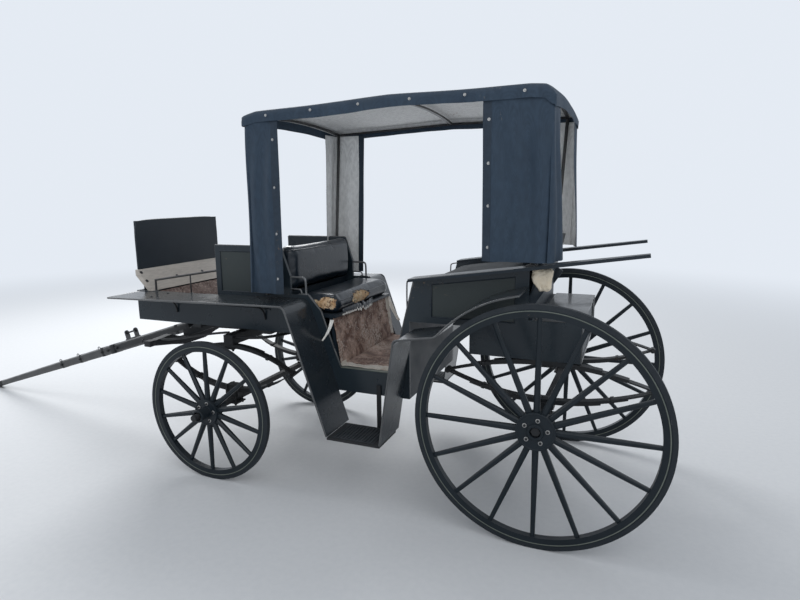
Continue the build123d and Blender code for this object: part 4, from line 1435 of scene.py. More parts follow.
@dataclass
class PoleFittings(Assembly):
    """Iron straps, bolts, staples and tip ferrule of the pole."""

    rider: Rider = Rider.POLE
    pivot: Point = (2.5, 0.0, 0.822)
    drop: float = 17.677
    butt_half: tuple[float, float] = (0.030, 0.036)
    tip_half: tuple[float, float] = (0.023, 0.022)
    butt: float = 1.10
    length: float = 2.638
    ears: tuple[float, float] = (0.740, 0.840)
    lap: tuple[float, float] = (0.955, 1.062)
    pin_z: float = 0.090
    lap_half: float = 0.0385
    plain_bolt: float = 0.60
    strapped: tuple[float, float, float] = (1.14, 1.42, 1.66)

    def place(self, along: float) -> Matrix:
        """The pole's own axes at a distance from its pin."""
        turn = Matrix.Rotation(radians(self.drop), 4, "Y")
        return Matrix.Translation(at(*self.pivot)) @ turn @ Matrix.Translation((along, 0, 0))

    def half(self, along: float) -> tuple[float, float]:
        """Half the pole's width and height at a distance from its pin."""
        share = min(max((along - self.butt) / (self.length - self.butt), 0), 1)
        return tuple(b + (t - b) * share for b, t in zip(self.butt_half, self.tip_half))

    def strap(self, along: float, width: float, proud: float = 0.002) -> Piece:
        """An iron band round the pole, with rounded edges.

        Args:
            along: Its distance from the pin.
            width: Its width along the pole.
            proud: How far it stands out at the sides.

        Returns:
            The band.
        """
        y, z = self.half(along)
        band = block("strap", Vector((-width / 2, -y - proud, -z - 0.002)),
                     Vector((width / 2, y + proud, z + 0.002)), 0.005, 2)
        band.data.transform(self.place(along))
        return band

    def hitch(self) -> Piece:
        """The cross pin of the two ears on top, and the ears' round heads.

        Returns:
            Both, joined.
        """
        parts = []
        for along in self.ears:
            parts.append(bar("ear_head", self.place(along - 0.007) @ Vector((0, 0, 0.094)),
                             self.place(along + 0.007) @ Vector((0, 0, 0.094)), 0.018, 24, 0.002))
        low, high = self.place(self.ears[0] - 0.014), self.place(self.ears[1] + 0.014)
        pin = Vector((0, 0, self.pin_z))
        parts.append(bar("cross_pin", low @ pin, high @ pin, 0.0065))
        return fused("pole_hitch", parts)

    def build(self) -> None:
        """Make the pole's fittings."""
        straps = [self.strap(*sizes) for sizes in (
            (0.30, 0.030), (1.008, 0.045, 0.0115), (1.14, 0.028), (1.42, 0.020), (1.66, 0.020),
            (2.585, 0.10))]
        for along in (1.20, 1.47, 1.70):
            top = self.half(along)[1]
            staple = pipe("staple", [Vector((x, 0, top + z)) for x, z in (
                (-0.013, -0.004), (-0.013, 0.010), (0, 0.018), (0.013, 0.010), (0.013, -0.004))], 0.003)
            staple.data.transform(self.place(along))
            straps.append(staple)
        self.keep(fused("pole_straps", straps), GEAR_IRON, "gear_iron")
        self.keep(self.hitch(), GEAR_IRON, "gear_iron")
        heads = []
        for along in (self.plain_bolt, *self.lap, *self.strapped):
            y = self.lap_half if along in self.lap else self.half(along)[0]
            if along in self.strapped:
                y += 0.002
            for side in (1, -1):
                spot = self.place(along) @ Vector((0, side * y, 0))
                heads.append(facing(Vector((0, side, 0)), spot))
        for along, way in zip(self.ears, (-1, 1)):
            turned_to = self.place(along)
            direction = turned_to.to_3x3() @ Vector((way, 0, 0))
            heads.append(facing(direction, turned_to @ Vector((way * 0.0075, 0, self.pin_z))))
        self.keep(repeated("pole_bolts", nut(*GEAR_NUT), heads), GEAR_IRON, "gear_iron")


@dataclass
class BodyTrim(Assembly):
    """Beads, mouldings, rails and small ironwork of the body."""

    side: float = 0.42
    bead: float = 0.0055
    moulding: float = 0.0045
    field_back: float = 0.4140
    field_face: float = 0.4157
    rail_y: float = 0.410
    boot_rear: float = -0.1702

    def run(self, corners: Sequence[tuple[float, float]], radius: float, y: float,
            closed: bool = False) -> Piece:
        """A round bead on the side, straight between (x, z) corners.

        Args:
            corners: The corners.
            radius: The bead's radius.
            y: The distance of its middle from the carriage's middle.
            closed: Whether it returns to its first corner.

        Returns:
            The bead.
        """
        following = corners[1:] + corners[:1] if closed else corners[1:]
        return fused("bead", [bar("bead", at(a[0], y, a[1]), at(b[0], y, b[1]), radius, 10, radius * 0.4)
                              for a, b in zip(corners, following)])

    def mouldings(self) -> None:
        """Lighter boards in the two sunk fields that paint the sky's reflection on the panels, mouldings
        round them, beads along the edges, and two strips of painted highlight.
        """
        quarter = block("field", at(0.165, self.field_back, 1.066), at(0.611, self.field_face, 1.320), 0)
        cut_off(quarter, at(0.163, 0, 1.3025), Vector((0.062, 0, 0.450)).normalized())
        seat = block("field", at(1.596, self.field_back, 1.136), at(2.004, self.field_face, 1.384), 0)
        fields = fused("fields", [soften(quarter, 0.0004, 1), soften(seat, 0.0004, 1)])
        # The fields' lighter finish paints the reflection that lights the panels.
        self.keep_both("sunk_fields", fields, FIELD_BLACK, "body_black")
        rims = [self.run(corners, self.moulding, self.side - 0.0035, True) for corners in (
            [(2.006, 1.134), (2.006, 1.386), (1.594, 1.386), (1.594, 1.134)],
            [(0.613, 1.064), (0.613, 1.242), (0.163, 1.304), (0.163, 1.064)])]
        self.keep_both("panel_mouldings", fused("mouldings", rims), BODY_BLACK, "body_black")
        edges = [self.run(corners, self.bead, self.side - sunk) for sunk, corners in (
            (0.006, [(2.040, 1.104), (2.040, 1.420), (1.564, 1.420)]),
            (0.006, [(2.720, 0.906), (2.720, 1.085)]),
            (0.004, [(1.176, 0.724), (1.218, 0.830), (1.298, 1.050), (1.378, 1.138)]),
            (0.004, [(0.842, 0.724), (0.792, 0.950), (0.717, 1.252)]),
            (0.004, [(-0.170, 0.884), (-0.170, 1.082)]))]
        self.keep_both("panel_edges", fused("edges", edges), EDGE_BLACK, "body_black")
        # Two pale metal strips that paint the highlight along two lit edges of the body.
        lit = [bar("edge", at(0.713, 0.5035, 1.2770), at(0.160, 0.5035, 1.3538), 0.0028, 10),
               bar("edge", at(2.185, 0.4225, 1.0785), at(1.800, 0.4225, 1.0785), 0.0045, 10)]
        self.keep_both("painted_highlight_edges", fused("rubbed", lit), RAIL_STEEL, "gear_iron")

    def sill(self) -> None:
        """A worn tread plate on each sill with its screws."""
        plate = block("sill_plate", at(0.845, 0.392, 0.7195), at(1.175, 0.4225, 0.7245), 0.0012)
        places = [Matrix.Translation(at(x, 0.407, 0.7244)) for x in (0.87, 0.96, 1.06, 1.15)]
        screws = repeated("screws", stud(*SILL_SCREW), places)
        self.keep_both("sill_plates", fused("sill", [plate, screws]), RIM_LINE, "gear_iron")

    def rails(self) -> None:
        """The bent rail at each end of the guest seat, the hand rails' posts and the entrance rods."""
        y = self.rail_y
        rail, low = (pipe("arm_rail", [at(x, y, z) for x, z in line], radius) for radius, line in (
            (0.0065, ((1.535, 1.242), (1.440, 1.243), (1.402, 1.240), (1.398, 1.205), (1.398, 1.146))),
            (0.005, ((1.535, 1.172), (1.452, 1.172), (1.430, 1.168), (1.428, 1.146)))))
        foot = block("foot", at(1.384, y - 0.011, 1.1402), at(1.446, y + 0.009, 1.1455), 0.0015)
        self.keep_both("arm_rails", fused("arm", [rail, low, foot]), RAIL_STEEL, "canopy_tube")
        post = bar("post", at(2.262, y, 1.0995), at(2.262, y, 1.2245), 0.0045)
        base = upright("foot", [(0, 0.007), (0.010, 0.006), (0.014, 0), (0, 0)], 20)
        feet = repeated("feet", base, [Matrix.Translation(at(x, y, 1.1002)) for x in (2.262, 2.558)])
        rod = pipe("rod", [at(x, 0.405, z) for x, z in (
            (0.757, 1.070), (0.760, 1.10), (0.760, 1.24), (0.755, 1.258), (0.715, 1.262))], 0.004)
        self.keep_both("posts_and_rods", fused("posts", [post, feet, rod]), TUBE_STEEL, "canopy_tube")

    def boot(self) -> None:
        """Lid edge, hinges and catch of the box under the rear seat."""
        rear = self.boot_rear
        lip = block("lip", at(-0.176, -0.4195, 1.0852), at(0.060, 0.4195, 1.0925), 0.003)
        corner = block("strip", at(-0.1735, -0.42, 0.8802), at(rear, 0.42, 0.900), 0.001)
        hinges = []
        for y in (-0.27, 0.27):
            hinges.append(block("strap", at(-0.1745, y - 0.014, 0.99), at(rear, y + 0.014, 1.085), 0.0012))
            hinges.append(bar("pin", at(-0.176, y - 0.02, 1.086), at(-0.176, y + 0.02, 1.086), 0.005))
        catch = block("catch", at(-0.178, -0.022, 0.955), at(rear, 0.022, 0.992), 0.002)
        circle = [at(-0.181, 0.018 * sin(turn), 0.962 + 0.018 * cos(turn))
                  for turn in (i * pi / 3 for i in range(6))]
        ring = pipe("ring", circle, 0.003, closed=True, detail=2)
        self.keep(fused("boot_lid_edge", [lip, corner]), EDGE_BLACK, "body_black")
        self.keep(fused("boot_ironwork", hinges + [catch, ring]), GEAR_IRON, "gear_iron")

    def build(self) -> None:
        """Make all the trim."""
        self.mouldings()
        self.sill()
        self.rails()
        self.boot()


@dataclass
class DashTrim(Assembly):
    """Rolled leather edge of the dash, and the toe board's bolts."""

    foot: float = 0.262
    set_back: float = 0.017
    toe_slope: tuple[tuple[float, float], tuple[float, float]] = ((2.5884, 1.100), (2.700, 1.238))

    def build(self) -> None:
        """Make the dash's edge and the toe board's fastenings."""
        low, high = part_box("dash")
        x = high.x - self.set_back
        z_low, z_high, y = low.z + self.foot, high.z, high.y
        edge = [Vector((x, side * (y - back), z)) for side, back, z in (
            (1, 0, z_low), (1, 0, z_low + 0.1), (1, 0, z_high - 0.03), (1, 0.03, z_high),
            (0, 0, z_high), (-1, 0.03, z_high), (-1, 0, z_high - 0.03), (-1, 0, z_low + 0.1), (-1, 0, z_low))]
        self.keep(pipe("dash_roll", edge, 0.0085), DASH_LEATHER, "dash_leather")
        (x_low, foot_z), (x_high, head_z) = self.toe_slope
        out = Vector((-(head_z - foot_z), 0, x_high - x_low)).normalized()
        bolts = []
        for side in (-1, 1):
            for share, place_y in ((0.46, 0.405), (0.46, 0.13), (0.86, 0.405)):
                spot = at(x_low + (x_high - x_low) * share, side * place_y,
                          foot_z + (head_z - foot_z) * share)
                bolts.append(facing(out, spot))
        self.keep(repeated("toe_board_bolts", stud(*TOE_BOLT), bolts), GEAR_IRON, "gear_iron")


@dataclass
class WingTrim(Assembly):
    """Rolled beads, stays and bolts of the wings, and the ribbed treads of the steps."""

    out_y: float = 0.685
    bead: float = 0.0055
    arch_radius: float = 0.650
    arch_centre_z: float = 0.610
    step_top: float = 0.397

    @staticmethod
    def top(x: float) -> float:
        """Height of the front guard's upper face."""
        return 1.096 + (2.69 - x) * 0.026 / 1.308 + 0.0002

    def beads(self) -> None:
        """The rolled edge of each wing."""
        y = self.out_y
        front = pipe("bead", [at(x, y, z) for x, z in (
            (2.688, 1.092), (2.0, 1.1057), (1.44, 1.1168), (1.385, 1.118), (1.362, 1.06), (1.24, 0.706),
            (1.137, 0.402))], self.bead)
        nose = bar("bead", at(2.690, 0.424, 1.092), at(2.690, y, 1.092), self.bead)
        self.keep_both("front_wing_beads", fused("beads", [front, nose]), EDGE_BLACK, "wing_black")
        arch = [(self.arch_radius * cos(turn), self.arch_centre_z + self.arch_radius * sin(turn))
                for turn in (radians(44 + 7.5 * i) for i in range(6))]
        line = [(0.815, 0.401), (0.78, 0.636), (0.745, 0.87), (0.733, 0.95), (0.728, 0.985), (0.70, 0.990),
                (0.60, 1.0063), (0.53, 1.018), (0.5057, 1.022), (0.49, 1.038), *arch]
        rear = pipe("bead", [at(x, y, z) for x, z in line], self.bead)
        self.keep_both("rear_wing_beads", rear, EDGE_BLACK, "wing_black")

    def stays(self) -> None:
        """The two irons that hold each front wing to the body, with their bolts."""
        stays = [pipe("stay", points((x, 0.60, 1.092), (x - 0.004, 0.50, 1.070), (x - 0.010, 0.4265, 1.03),
                                     (x - 0.012, 0.4265, 0.972)), 0.006) for x in (2.39, 1.70)]
        self.keep_both("wing_stays", fused("stays", stays), GEAR_IRON, "gear_iron")
        spots = points(*((x + 0.011, y, self.top(x)) for x in (2.40, 1.70) for y in (0.46, 0.60)),
                       (0.870, 0.480, self.step_top))
        bolts = repeated("bolts", stud(*WING_BOLT), [Matrix.Translation(spot) for spot in spots])
        self.keep_both("wing_bolts", bolts, GEAR_IRON, "gear_iron")

    def treads(self) -> None:
        """The ribbed rubber on each step."""
        z = self.step_top
        rib = block("rib", Vector((-0.0035, -0.092, 0)), Vector((0.0035, 0.092, 0.005)), 0.0018)
        ribs = repeated("ribs", rib, [Matrix.Translation(at(0.872 + 0.0195 * i, 0.572, z + 0.0028))
                                      for i in range(12)])
        pad = block("pad", at(0.855, 0.474, z), at(1.105, 0.670, z + 0.003), 0.001)
        self.keep_both("step_treads", fused("treads", [pad, ribs]), TYRE_RUBBER, "gear_iron")

    def build(self) -> None:
        """Make the beads, stays and treads."""
        self.beads()
        self.stays()
        self.treads()


@dataclass
class GearFittings(Assembly):
    """Ironwork under the front of the carriage that steers with the pole."""

    rider: Rider = Rider.GEAR

    def build(self) -> None:
        """Make the stays, sway bar, hooks and bolts."""
        stay = pipe("stay", points((1.985, 0.405, 0.862), (2.10, 0.39, 0.845), (2.33, 0.36, 0.795),
                                   (2.50, 0.345, 0.757), (2.645, 0.335, 0.738)), 0.0075)
        self.keep_both("gear_stays", stay, GEAR_IRON, "gear_iron")
        sway = [(1.985, 0.42, 0.835), (1.80, 0.41, 0.84), (1.70, 0.33, 0.842), (1.63, 0.15, 0.842)]
        line = points(*sway, *((x, -y, z) for x, y, z in sway[::-1]))
        self.keep(pipe("sway_bar", line, 0.009), GEAR_IRON, "gear_iron")
        cap = block("cap", at(2.634, 0.384, 0.709), at(2.690, 0.4335, 0.749), 0.004)
        hook = pipe("hook", [at(x, 0.400, z) for x, z in (
            (2.686, 0.729), (2.712, 0.729), (2.735, 0.722), (2.738, 0.745), (2.722, 0.752))], 0.0052)
        self.keep_both("trace_hooks", fused("hooks", [cap, hook]), GEAR_IRON, "gear_iron")
        heads = [facing(Vector((0, 0, 1)), at(1.958, y, 0.856)) for y in (0.36, 0.43)]
        self.keep_both("gear_bolts", repeated("bolts", nut(*GEAR_NUT), heads), GEAR_IRON, "gear_iron")


@dataclass
class TornEnds(Assembly):
    """Bare stuffing, a frayed edge and hanging strips where the seats are torn, and the back's knees."""

    guest: Piece | None = None
    wad_middle: Point = (0.033, 0.407, 1.300)
    wad_drop: float = 0.062
    seam_left: float = 0.384
    seam_z: float = 1.046
    seam_x: float = 1.187
    probe_x: float = 1.180
    fringe_flat: tuple[float, float] = (0.44, 0.058)
    fringe_cells: tuple[int, int] = (110, 8)
    pale_from: float = 0.70

    def wad(self) -> None:
        """Exposed foam at the near end of the rear seat's back, and the boards below the back's ends."""
        middle = at(*self.wad_middle)
        wad = block("seat_back_stuffing", at(-0.018, 0.380, 1.238), at(0.084, 0.434, 1.347), 0.020, 3)
        modify(wad, "REMESH", mode="VOXEL", voxel_size=0.005)
        normals = [vertex.normal.copy() for vertex in wad.data.vertices]
        for vertex, normal in zip(wad.data.vertices, normals):
            below = max(0.0, (middle.z - vertex.co.z) / self.wad_drop)
            vertex.co.x = middle.x + (vertex.co.x - middle.x) * (1 - 0.42 * below ** 1.4) - 0.012 * below
            vertex.co += normal * (0.013 * noise.noise(vertex.co * 24) + 0.004 * noise.noise(vertex.co * 90))
        modify(wad, "SMOOTH", factor=0.5, iterations=2)
        self.keep(shaded(wad), PALE_FOAM, "seat_vinyl")
        knee = block("knee", Vector((-0.024, 0.4012, -0.092)), Vector((0.024, 0.4140, 0.092)), 0.003)
        knee.data.transform(Matrix.Translation(at(0.092, 0, 1.172)) @ Matrix.Rotation(radians(-33), 4, "Y"))
        self.keep_both("seat_back_knees", knee, BODY_BLACK, "body_black")

    def fringe(self) -> None:
        """The pale frayed lower edge of the guest cushion's cover."""
        flat, cells = self.fringe_flat, self.fringe_cells
        limit = at(self.seam_x, 0, 0).x
        seam = []
        for i in range(cells[0] + 1):
            y = self.seam_left - i / cells[0] * flat[0]
            found, head, _, _ = self.guest.closest_point_on_mesh(at(self.probe_x, y, self.seam_z))
            if not found:
                head = at(self.seam_x, y, self.seam_z)
            seam.append(Vector((min(head.x, limit), head.y, head.z)))

        def drop(along: float) -> float:
            """How far the ragged flap hangs at a share of its width."""
            ragged = 0.93 + 0.16 * noise.noise(Vector((along * 44, 0, 2)))
            return flat[1] * (0.70 + 0.25 * along) * ragged

        def shape(along: float, across: float) -> Vector:
            """Along the cushion's front seam, ragged below."""
            top = seam[round(along * cells[0])]
            return top + Vector((-0.004 * sin(pi * across), 0, -across * drop(along)))

        piece = draped("cushion_fringe", shape, cells, flat, 0.0014)
        piece.data.materials.append(None)
        for polygon in piece.data.polygons:
            along = min(max((self.seam_left - polygon.center.y) / flat[0], 0), 1)
            if polygon.center.z < seam[round(along * cells[0])].z - drop(along) * self.pale_from:
                polygon.material_index = 2
        self.keep(piece, (VINYL, VINYL, FRAY), "seat_vinyl")

    def strip(self, name: str, head: Point, foot: Point, flat: tuple[float, float], taper: float,
              bow: float) -> None:
        """One torn strip of lining that hangs at a front corner of the entrance.

        Args:
            name: Its name.
            head: Where it is held.
            foot: Where it ends.
            flat: Its width and length.
            taper: The share of its width that it loses towards its foot.
            bow: How far its middle swings aside.
        """

        def shape(along: float, across: float) -> Vector:
            """A point of the strip.

            Args:
                along: The share of its width.
                across: The share of its length, from its head.

            Returns:
                The point, down from the head and with a ragged edge.
            """
            share = 1 - taper * across + 0.12 * noise.noise(Vector((across * 9, 0, 1)))
            width = (along - 0.5) * flat[0] * share
            place = at(*head).lerp(at(*foot), across)
            return place + Vector((width - bow * sin(pi * across), 0.0015 * sin(2 * pi * along), 0))

        piece = draped(name, shape, (6, 24), flat, 0.0016)
        self.keep(piece, (FRAY, FRAY), "seat_vinyl")

    def build(self) -> None:
        """Make the torn ends."""
        self.wad()
        self.fringe()
        self.strip("near_torn_strip", (1.222, 0.4245, 1.004), (1.292, 0.4265, 0.872), (0.026, 0.150),
                   taper=0.6, bow=0.010)
        self.strip("far_torn_strip", (1.226, -0.396, 1.008), (1.140, -0.396, 0.838), (0.034, 0.191),
                   taper=0.3, bow=-0.006)


@dataclass
class HideLinings(Assembly):
    """Short-haired hide in the driver's footwell, on the slope before it and in the entrance."""

    thickness: float = 0.005
    bend: float = 0.02
    ramp_foot: Point = (2.392, -0.392, 0.928)
    ramp_head: Point = (2.584, -0.392, 1.091)
    ramp_width: float = 0.784
    riser_foot_x: float = 1.184
    floor_pale_z: float = 0.024

    def rumple(self, point: Vector, amount: float) -> float:
        """A small uneven lift at a point."""
        return amount * (noise.noise(point * 5.5) + 0.5 * noise.noise(point * 17))

    def footwell(self) -> None:
        """One hide across the driver's floor and up both sides."""
        low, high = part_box("footwell_hide")
        wall = high.z - low.z
        width = high.y - low.y
        flat = (high.x - low.x, width + 2 * wall)
        lift = self.thickness + 0.0005

        def shape(along: float, across: float) -> Vector:
            """A point of the hide.

            Args:
                along: The share of the footwell's length.
                across: The share of the hide from the right side's top, over the floor, to the left's.

            Returns:
                The point.
            """
            x = low.x + along * flat[0]
            run = (1 - across) * flat[1]
            if run < wall:
                base, out = Vector((x, high.y, high.z - run)), Vector((0, -1, 0))
            elif run < wall + width:
                base, out = Vector((x, high.y - (run - wall), low.z)), Vector((0, 0, 1))
            else:
                base, out = Vector((x, low.y, low.z + run - wall - width)), Vector((0, 1, 0))
            return base + out * (lift + abs(self.rumple(base, 0.006)))

        piece = draped("footwell_hide_lining", shape, (90, 130), flat, self.thickness)
        self.keep(piece, (DARK_HIDE, DARK_HIDE), "hide", replaces=["footwell_hide"])

    def ramp(self) -> None:
        """The hide that runs up from the driver's floor to the toe board."""
        foot, head = points(self.ramp_foot, self.ramp_head)
        flat = ((head - foot).length, self.ramp_width)

        def shape(along: float, across: float) -> Vector:
            """Up the slope, a little hollow at its foot."""
            point = foot.lerp(head, along) + Vector((0, across * flat[1], -0.008 * sin(pi * along)))
            return point + Vector((-0.6, 0, 0.7)) * abs(self.rumple(point, 0.006))

        piece = draped("footwell_ramp_hide", shape, (40, 100), flat, self.thickness)
        self.keep(piece, (DARK_HIDE, DARK_HIDE), "hide")

    def entrance(self) -> None:
        """One hide down the guest seat's riser and over the entrance floor."""
        low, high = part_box("entrance_hide")
        top = Vector((high.x - 0.004, 0, high.z - 0.002))
        foot = Vector((at(self.riser_foot_x, 0, 0).x, 0, low.z + 0.006))
        drop = (top - foot).length
        run = foot.x - low.x - 0.01
        flat = (drop + run, high.y - low.y - 0.004)
        slope = (foot - top).normalized()
        riser_out = Vector((slope.z, 0, -slope.x)).normalized()

        def shape(along: float, across: float) -> Vector:
            """A point of the hide.

            Args:
                along: The share of the hide down the riser, round its foot and over the floor.
                across: The share of its width, from its left edge.

            Returns:
                The point.
            """
            went = along * flat[0]
            riser = top + slope * min(went, drop)
            level = foot + Vector((-(went - drop), 0, 0))
            share = min(max((went - drop + self.bend) / (2 * self.bend), 0), 1)
            share = share * share * (3 - 2 * share)
            place = riser.lerp(level, share) if went > drop - self.bend else riser
            out = (riser_out * (1 - share) + Vector((0, 0, 1)) * share).normalized()
            point = Vector((place.x, low.y + 0.002 + (1 - across) * flat[1], place.z))
            return point + out * (0.003 + abs(self.rumple(point, 0.007)))

        piece = draped("entrance_hide_lining", shape, (90, 110), flat, self.thickness)
        level_z = low.z + self.floor_pale_z
        for polygon in piece.data.polygons:
            middle = polygon.center
            turn = 0.024 * noise.noise(middle * 9) + 0.010 * noise.noise(middle * 31)
            floor = middle.z < level_z and middle.y > high.y - 0.060 + turn
            riser = middle.z >= level_z and middle.y < low.y + 0.050 + turn
            if floor or riser:
                polygon.material_index = 1
        self.keep(piece, (HIDE, PALE_HIDE), "hide", replaces=["entrance_hide"])

    def build(self) -> None:
        """Lay the linings."""
        self.footwell()
        self.ramp()
        self.entrance()


@dataclass
class Canopy(Assembly):
    """Canvas roof, its valance, and the four corner curtains with their studs."""

    cloth: float = 0.0016
    half: float = 0.5535
    front_x: float = 1.690
    rear_x: float = -0.020
    edge_heights: Sequence[tuple[float, float]] = (
        (-0.02, 2.160), (0.03, 2.200), (0.10, 2.206), (0.80, 2.208), (1.60, 2.176), (1.69, 2.155))
    crown: float = 0.034
    corner: float = 0.020
    valance: float = 0.050
    sag: float = 0.010
    bows: Sequence[float] = (0.048, 0.80, 1.655)
    roof_cells: tuple[int, int] = (110, 84)
    rim_drop: float = 0.012
    rim_width: float = 0.022
    lining_from: float = 0.017
    stud_gap: float = 0.30
    hem: float = 0.042
    hem_proud: float = 0.0022
    round_off: float = 0.03

    def edge_z(self, x: float) -> float:
        """Height of the roof's side edge.

        Args:
            x: The distance from the rear axle.

        Returns:
            The height.
        """
        for (x_low, z_low), (x_high, z_high) in zip(self.edge_heights, self.edge_heights[1:]):
            if x <= x_high:
                share = min(max((x - x_low) / (x_high - x_low), 0), 1)
                return z_low + (z_high - z_low) * share
        return self.edge_heights[-1][1]

    def top(self, x: float, y: float) -> float:
        """Height of the roof's cloth, which sags a little between its bows.

        Args:
            x: The distance from the rear axle.
            y: The distance from the carriage's middle.

        Returns:
            The height.
        """
        across = 1 - (y / self.half) ** 2
        slack = 0.0
        for here, there in zip(self.bows, self.bows[1:]):
            if here < x < there:
                slack = sin(pi * (x - here) / (there - here)) ** 2
        return self.edge_z(x) + self.crown * across - self.sag * slack * (0.35 + 0.65 * across)

    def roof(self) -> None:
        """One sheet over the bows whose edges hang down as the valance."""
        length = self.front_x - self.rear_x
        flat = (length + 2 * self.valance, 2 * (self.half + self.valance))
        middle = (self.front_x + self.rear_x) / 2
        reach = length / 2

        def shape(along: float, across: float) -> Vector:
            """A point of the sheet.

            Args:
                along: The share of its length.
                across: The share of its width.

            Returns:
                The point, on top inside the roof's edges and hanging down beyond them.
            """
            u = (along - 0.5) * flat[0]
            v = (across - 0.5) * flat[1]
            x, y = min(max(u, -reach), reach), min(max(v, -self.half), self.half)
            over = max(abs(u) - reach, abs(v) - self.half, 0.0)
            dx, dy = abs(x) - (reach - self.corner), abs(y) - (self.half - self.corner)
            if dx > 0 and dy > 0:
                scale = max(dx, dy) / hypot(dx, dy)
                x = (reach - self.corner + dx * scale) * (1 if x > 0 else -1)
                y = (self.half - self.corner + dy * scale) * (1 if y > 0 else -1)
            z = self.top(middle + x, y)
            rim = min(reach - abs(x), self.half - abs(y))
            z -= self.rim_drop * max(0.0, 1 - rim / self.rim_width) ** 2
            hem = over / self.valance
            wave = hem * (0.004 * sin(31 * (x + 0.7 * y)) + 0.005 * noise.noise(Vector((x * 6, y * 6, 1))))
            outward = 1 + (wave - 0.002 * hem) / self.half
            droop = 1 + 0.16 * noise.noise(Vector((x * 1.7, y * 1.7, 4)))
            return at(middle + x * (1 + (outward - 1) * 0.4), y * outward, z - over * droop)

        piece = draped("canopy_canvas", shape, self.roof_cells, flat, self.cloth)
        for polygon in piece.data.polygons:
            x = min(max(polygon.center.x - AXLE_X, self.rear_x), self.front_x)
            y = min(max(polygon.center.y, -self.half), self.half)
            if polygon.center.z < self.top(x, y) - self.lining_from:
                polygon.material_index = 0
        self.keep(piece, (CANVAS, LINING), "canopy_cloth", replaces=["canopy_roof"])

    def curtain(self, name: str, node: str, corner_x: float, inner_x: float, return_y: float,
                z: tuple[float, float], lean: float, flare: float) -> None:
        """A pair of corner curtains, each one sheet that turns round its corner.

        Args:
            name: The pair's name.
            node: The node it takes the place of.
            corner_x: Where its corner is along the carriage.
            inner_x: Where its side panel ends at the top.
            return_y: Where its end panel ends.
            z: Heights of its lower and upper edge.
            lean: How far the side panel's foot stands off its top, along the carriage.
            flare: How far the end panel's foot swings out.
        """
        way = 1 if inner_x > corner_x else -1
        side = abs(inner_x - corner_x)
        end = self.half - return_y - 0.007
        flat = (side + end, z[1] - z[0])
        hang = self.half - 0.0065

        def shape(along: float, across: float) -> Vector:
            """A point of the curtain.

            Args:
                along: The share of its width, from the side panel's free edge round the corner.
                across: The share of its height.

            Returns:
                The point.
            """
            went = along * flat[0]
            fall = 1 - across
            height = z[0] + across * flat[1]
            if went < side - self.round_off:
                x, y = inner_x - way * went, hang
                out = Vector((0, 1, 0))
            elif went > side + self.round_off:
                x, y = corner_x, hang - (went - side)
                out = Vector((-way, 0, 0))
            else:
                turn = (went - side + self.round_off) / (2 * self.round_off) * pi / 2
                x = corner_x + way * self.round_off * (1 - sin(turn))
                y = hang - self.round_off * (1 - cos(turn))
                out = Vector((-way * sin(turn), cos(turn), 0))
            ripple = 0.0065 * sin(58 * went + 2.2 * sin(3 * height)) + 0.013 * noise.noise(
                Vector((went * 9, height * 1.4, 3.0 + corner_x)))
            free = min(1.0, fall * 3.0)
            point = at(x + lean * fall, y, height) + out * (ripple * free - 0.002)
            point.y -= 0.018 * fall * (went < side)
            point.x -= way * flare * fall * max(0.0, went - side) / max(end, 0.01)
            return point

        def laid(width: float) -> Callable[[float, float], Vector]:
            """The shape of a strip of that width from the free edge, with its face turned outward."""
            return lambda along, across: shape((along if way > 0 else 1 - along) * width / flat[0], across)

        left = draped(name, laid(flat[0]), (64, 60), flat, self.cloth)
        hem = draped("hem", laid(self.hem), (4, 60), (self.hem, flat[1]), self.cloth + self.hem_proud)
        hem.data.transform(Matrix.Translation((0, self.hem_proud / 2, 0)))
        places = []
        count = max(3, round(flat[1] / self.stud_gap) + 1)
        for i in range(count):
            height = (i + 0.35) / (count - 0.2)
            place = shape(0.030 / flat[0], height) + Vector((0, 0.0008, 0))
            places.append(facing(Vector((0, 1, 0)), place))
        pins = repeated("studs", stud(*PRESS_STUD), places)
        hems = self.keep_both(f"{name}_hems", hem, (CANVAS_HEM, CANVAS_HEM), "canopy_cloth")
        pins = self.keep_both(f"{name}_studs", pins, BRIGHT_STEEL, "gear_iron")
        sheets = self.keep_both(name, left, (CANVAS, LINING), "canopy_cloth", replaces=[node])

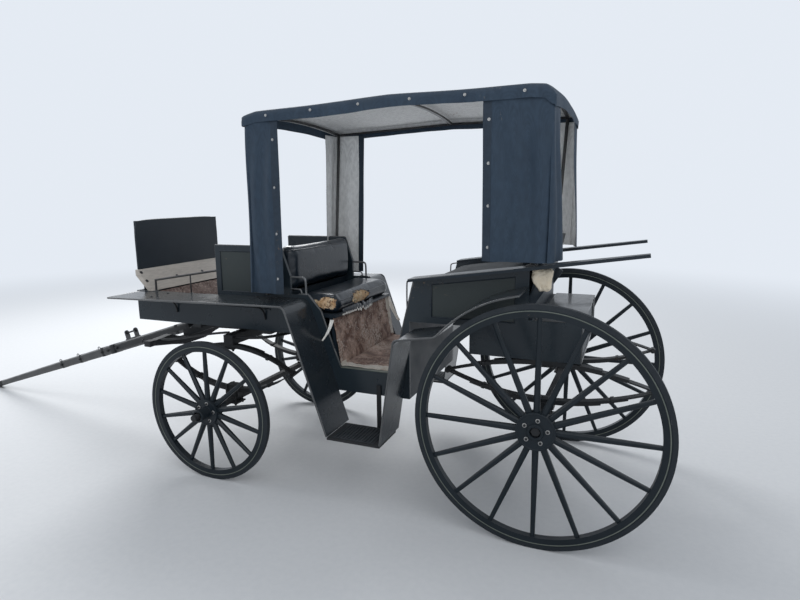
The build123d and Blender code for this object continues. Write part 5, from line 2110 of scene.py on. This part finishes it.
    def valance_studs(self) -> None:
        """A row of press studs along each side of the valance."""
        places = []
        for x in (0.12, 0.40, 0.68, 0.96, 1.24, 1.52):
            for side in SIDES.values():
                place = at(x, side * (self.half + 0.001), self.edge_z(x) - 0.03)
                places.append(facing(Vector((0, side, 0)), place))
        self.keep(repeated("valance_studs", stud(*PRESS_STUD), places), BRIGHT_STEEL, "gear_iron")

    def build(self) -> None:
        """Make the roof, the curtains and the studs."""
        self.roof()
        self.valance_studs()
        self.curtain("front_curtain_cloth", "front_curtains", corner_x=1.684, inner_x=1.456, return_y=0.380,
                     z=(1.158, 2.136), lean=0.02, flare=0.0)
        self.curtain("rear_curtain_cloth", "rear_curtains", corner_x=-0.014, inner_x=0.314, return_y=0.340,
                     z=(1.390, 2.150), lean=0.0, flare=0.05)


def main() -> None:
    """Build the carriage's sub-assemblies in order."""
    Studio().build()
    FrameFinishes().build()
    for side in SIDES:
        WheelFittings(end="rear", side=side).build()
        WheelFittings(end="front", side=side, bolt_ring=0.056, flange_radius=0.082, nose=0.100).build()
    SpringFittings().build()
    SpringFittings(rider=Rider.GEAR, end="front", y=0.420, eye_z=0.645, upper_z=0.775, lower_z=0.505,
                   bridge_z=0.5275, clamp_z=0.765, axle_z=0.434).build()
    GearFittings().build()
    PoleFittings().build()
    BodyTrim().build()
    DashTrim().build()
    WingTrim().build()
    HideLinings().build()
    Cushion(node="driver_cushion", edge=0.034).build()
    Cushion(node="backrest", edge=0.052).build()
    guest = Cushion(node="guest_cushion", edge=0.045, tears=(
        ((1.285, 0.395, 1.10), (0.085, 0.05, 0.062)),
        ((1.195, 0.055, 1.085), (0.05, 0.125, 0.062)),
    )).build()
    Cushion(node="rear_cushion", edge=0.040, sag=0.055, cover=DULL_VINYL,
            tears=(((0.19, 0.40, 1.25), (0.09, 0.04, 0.06)),)).build()
    Cushion(node="rear_back_pad", edge=0.034, lean=0.062, cover=DULL_VINYL).build()
    TornEnds(guest=guest).build()
    Canopy().build()


if __name__ == "__main__":
    logging.basicConfig(level=logging.INFO, format="%(message)s")
    main()
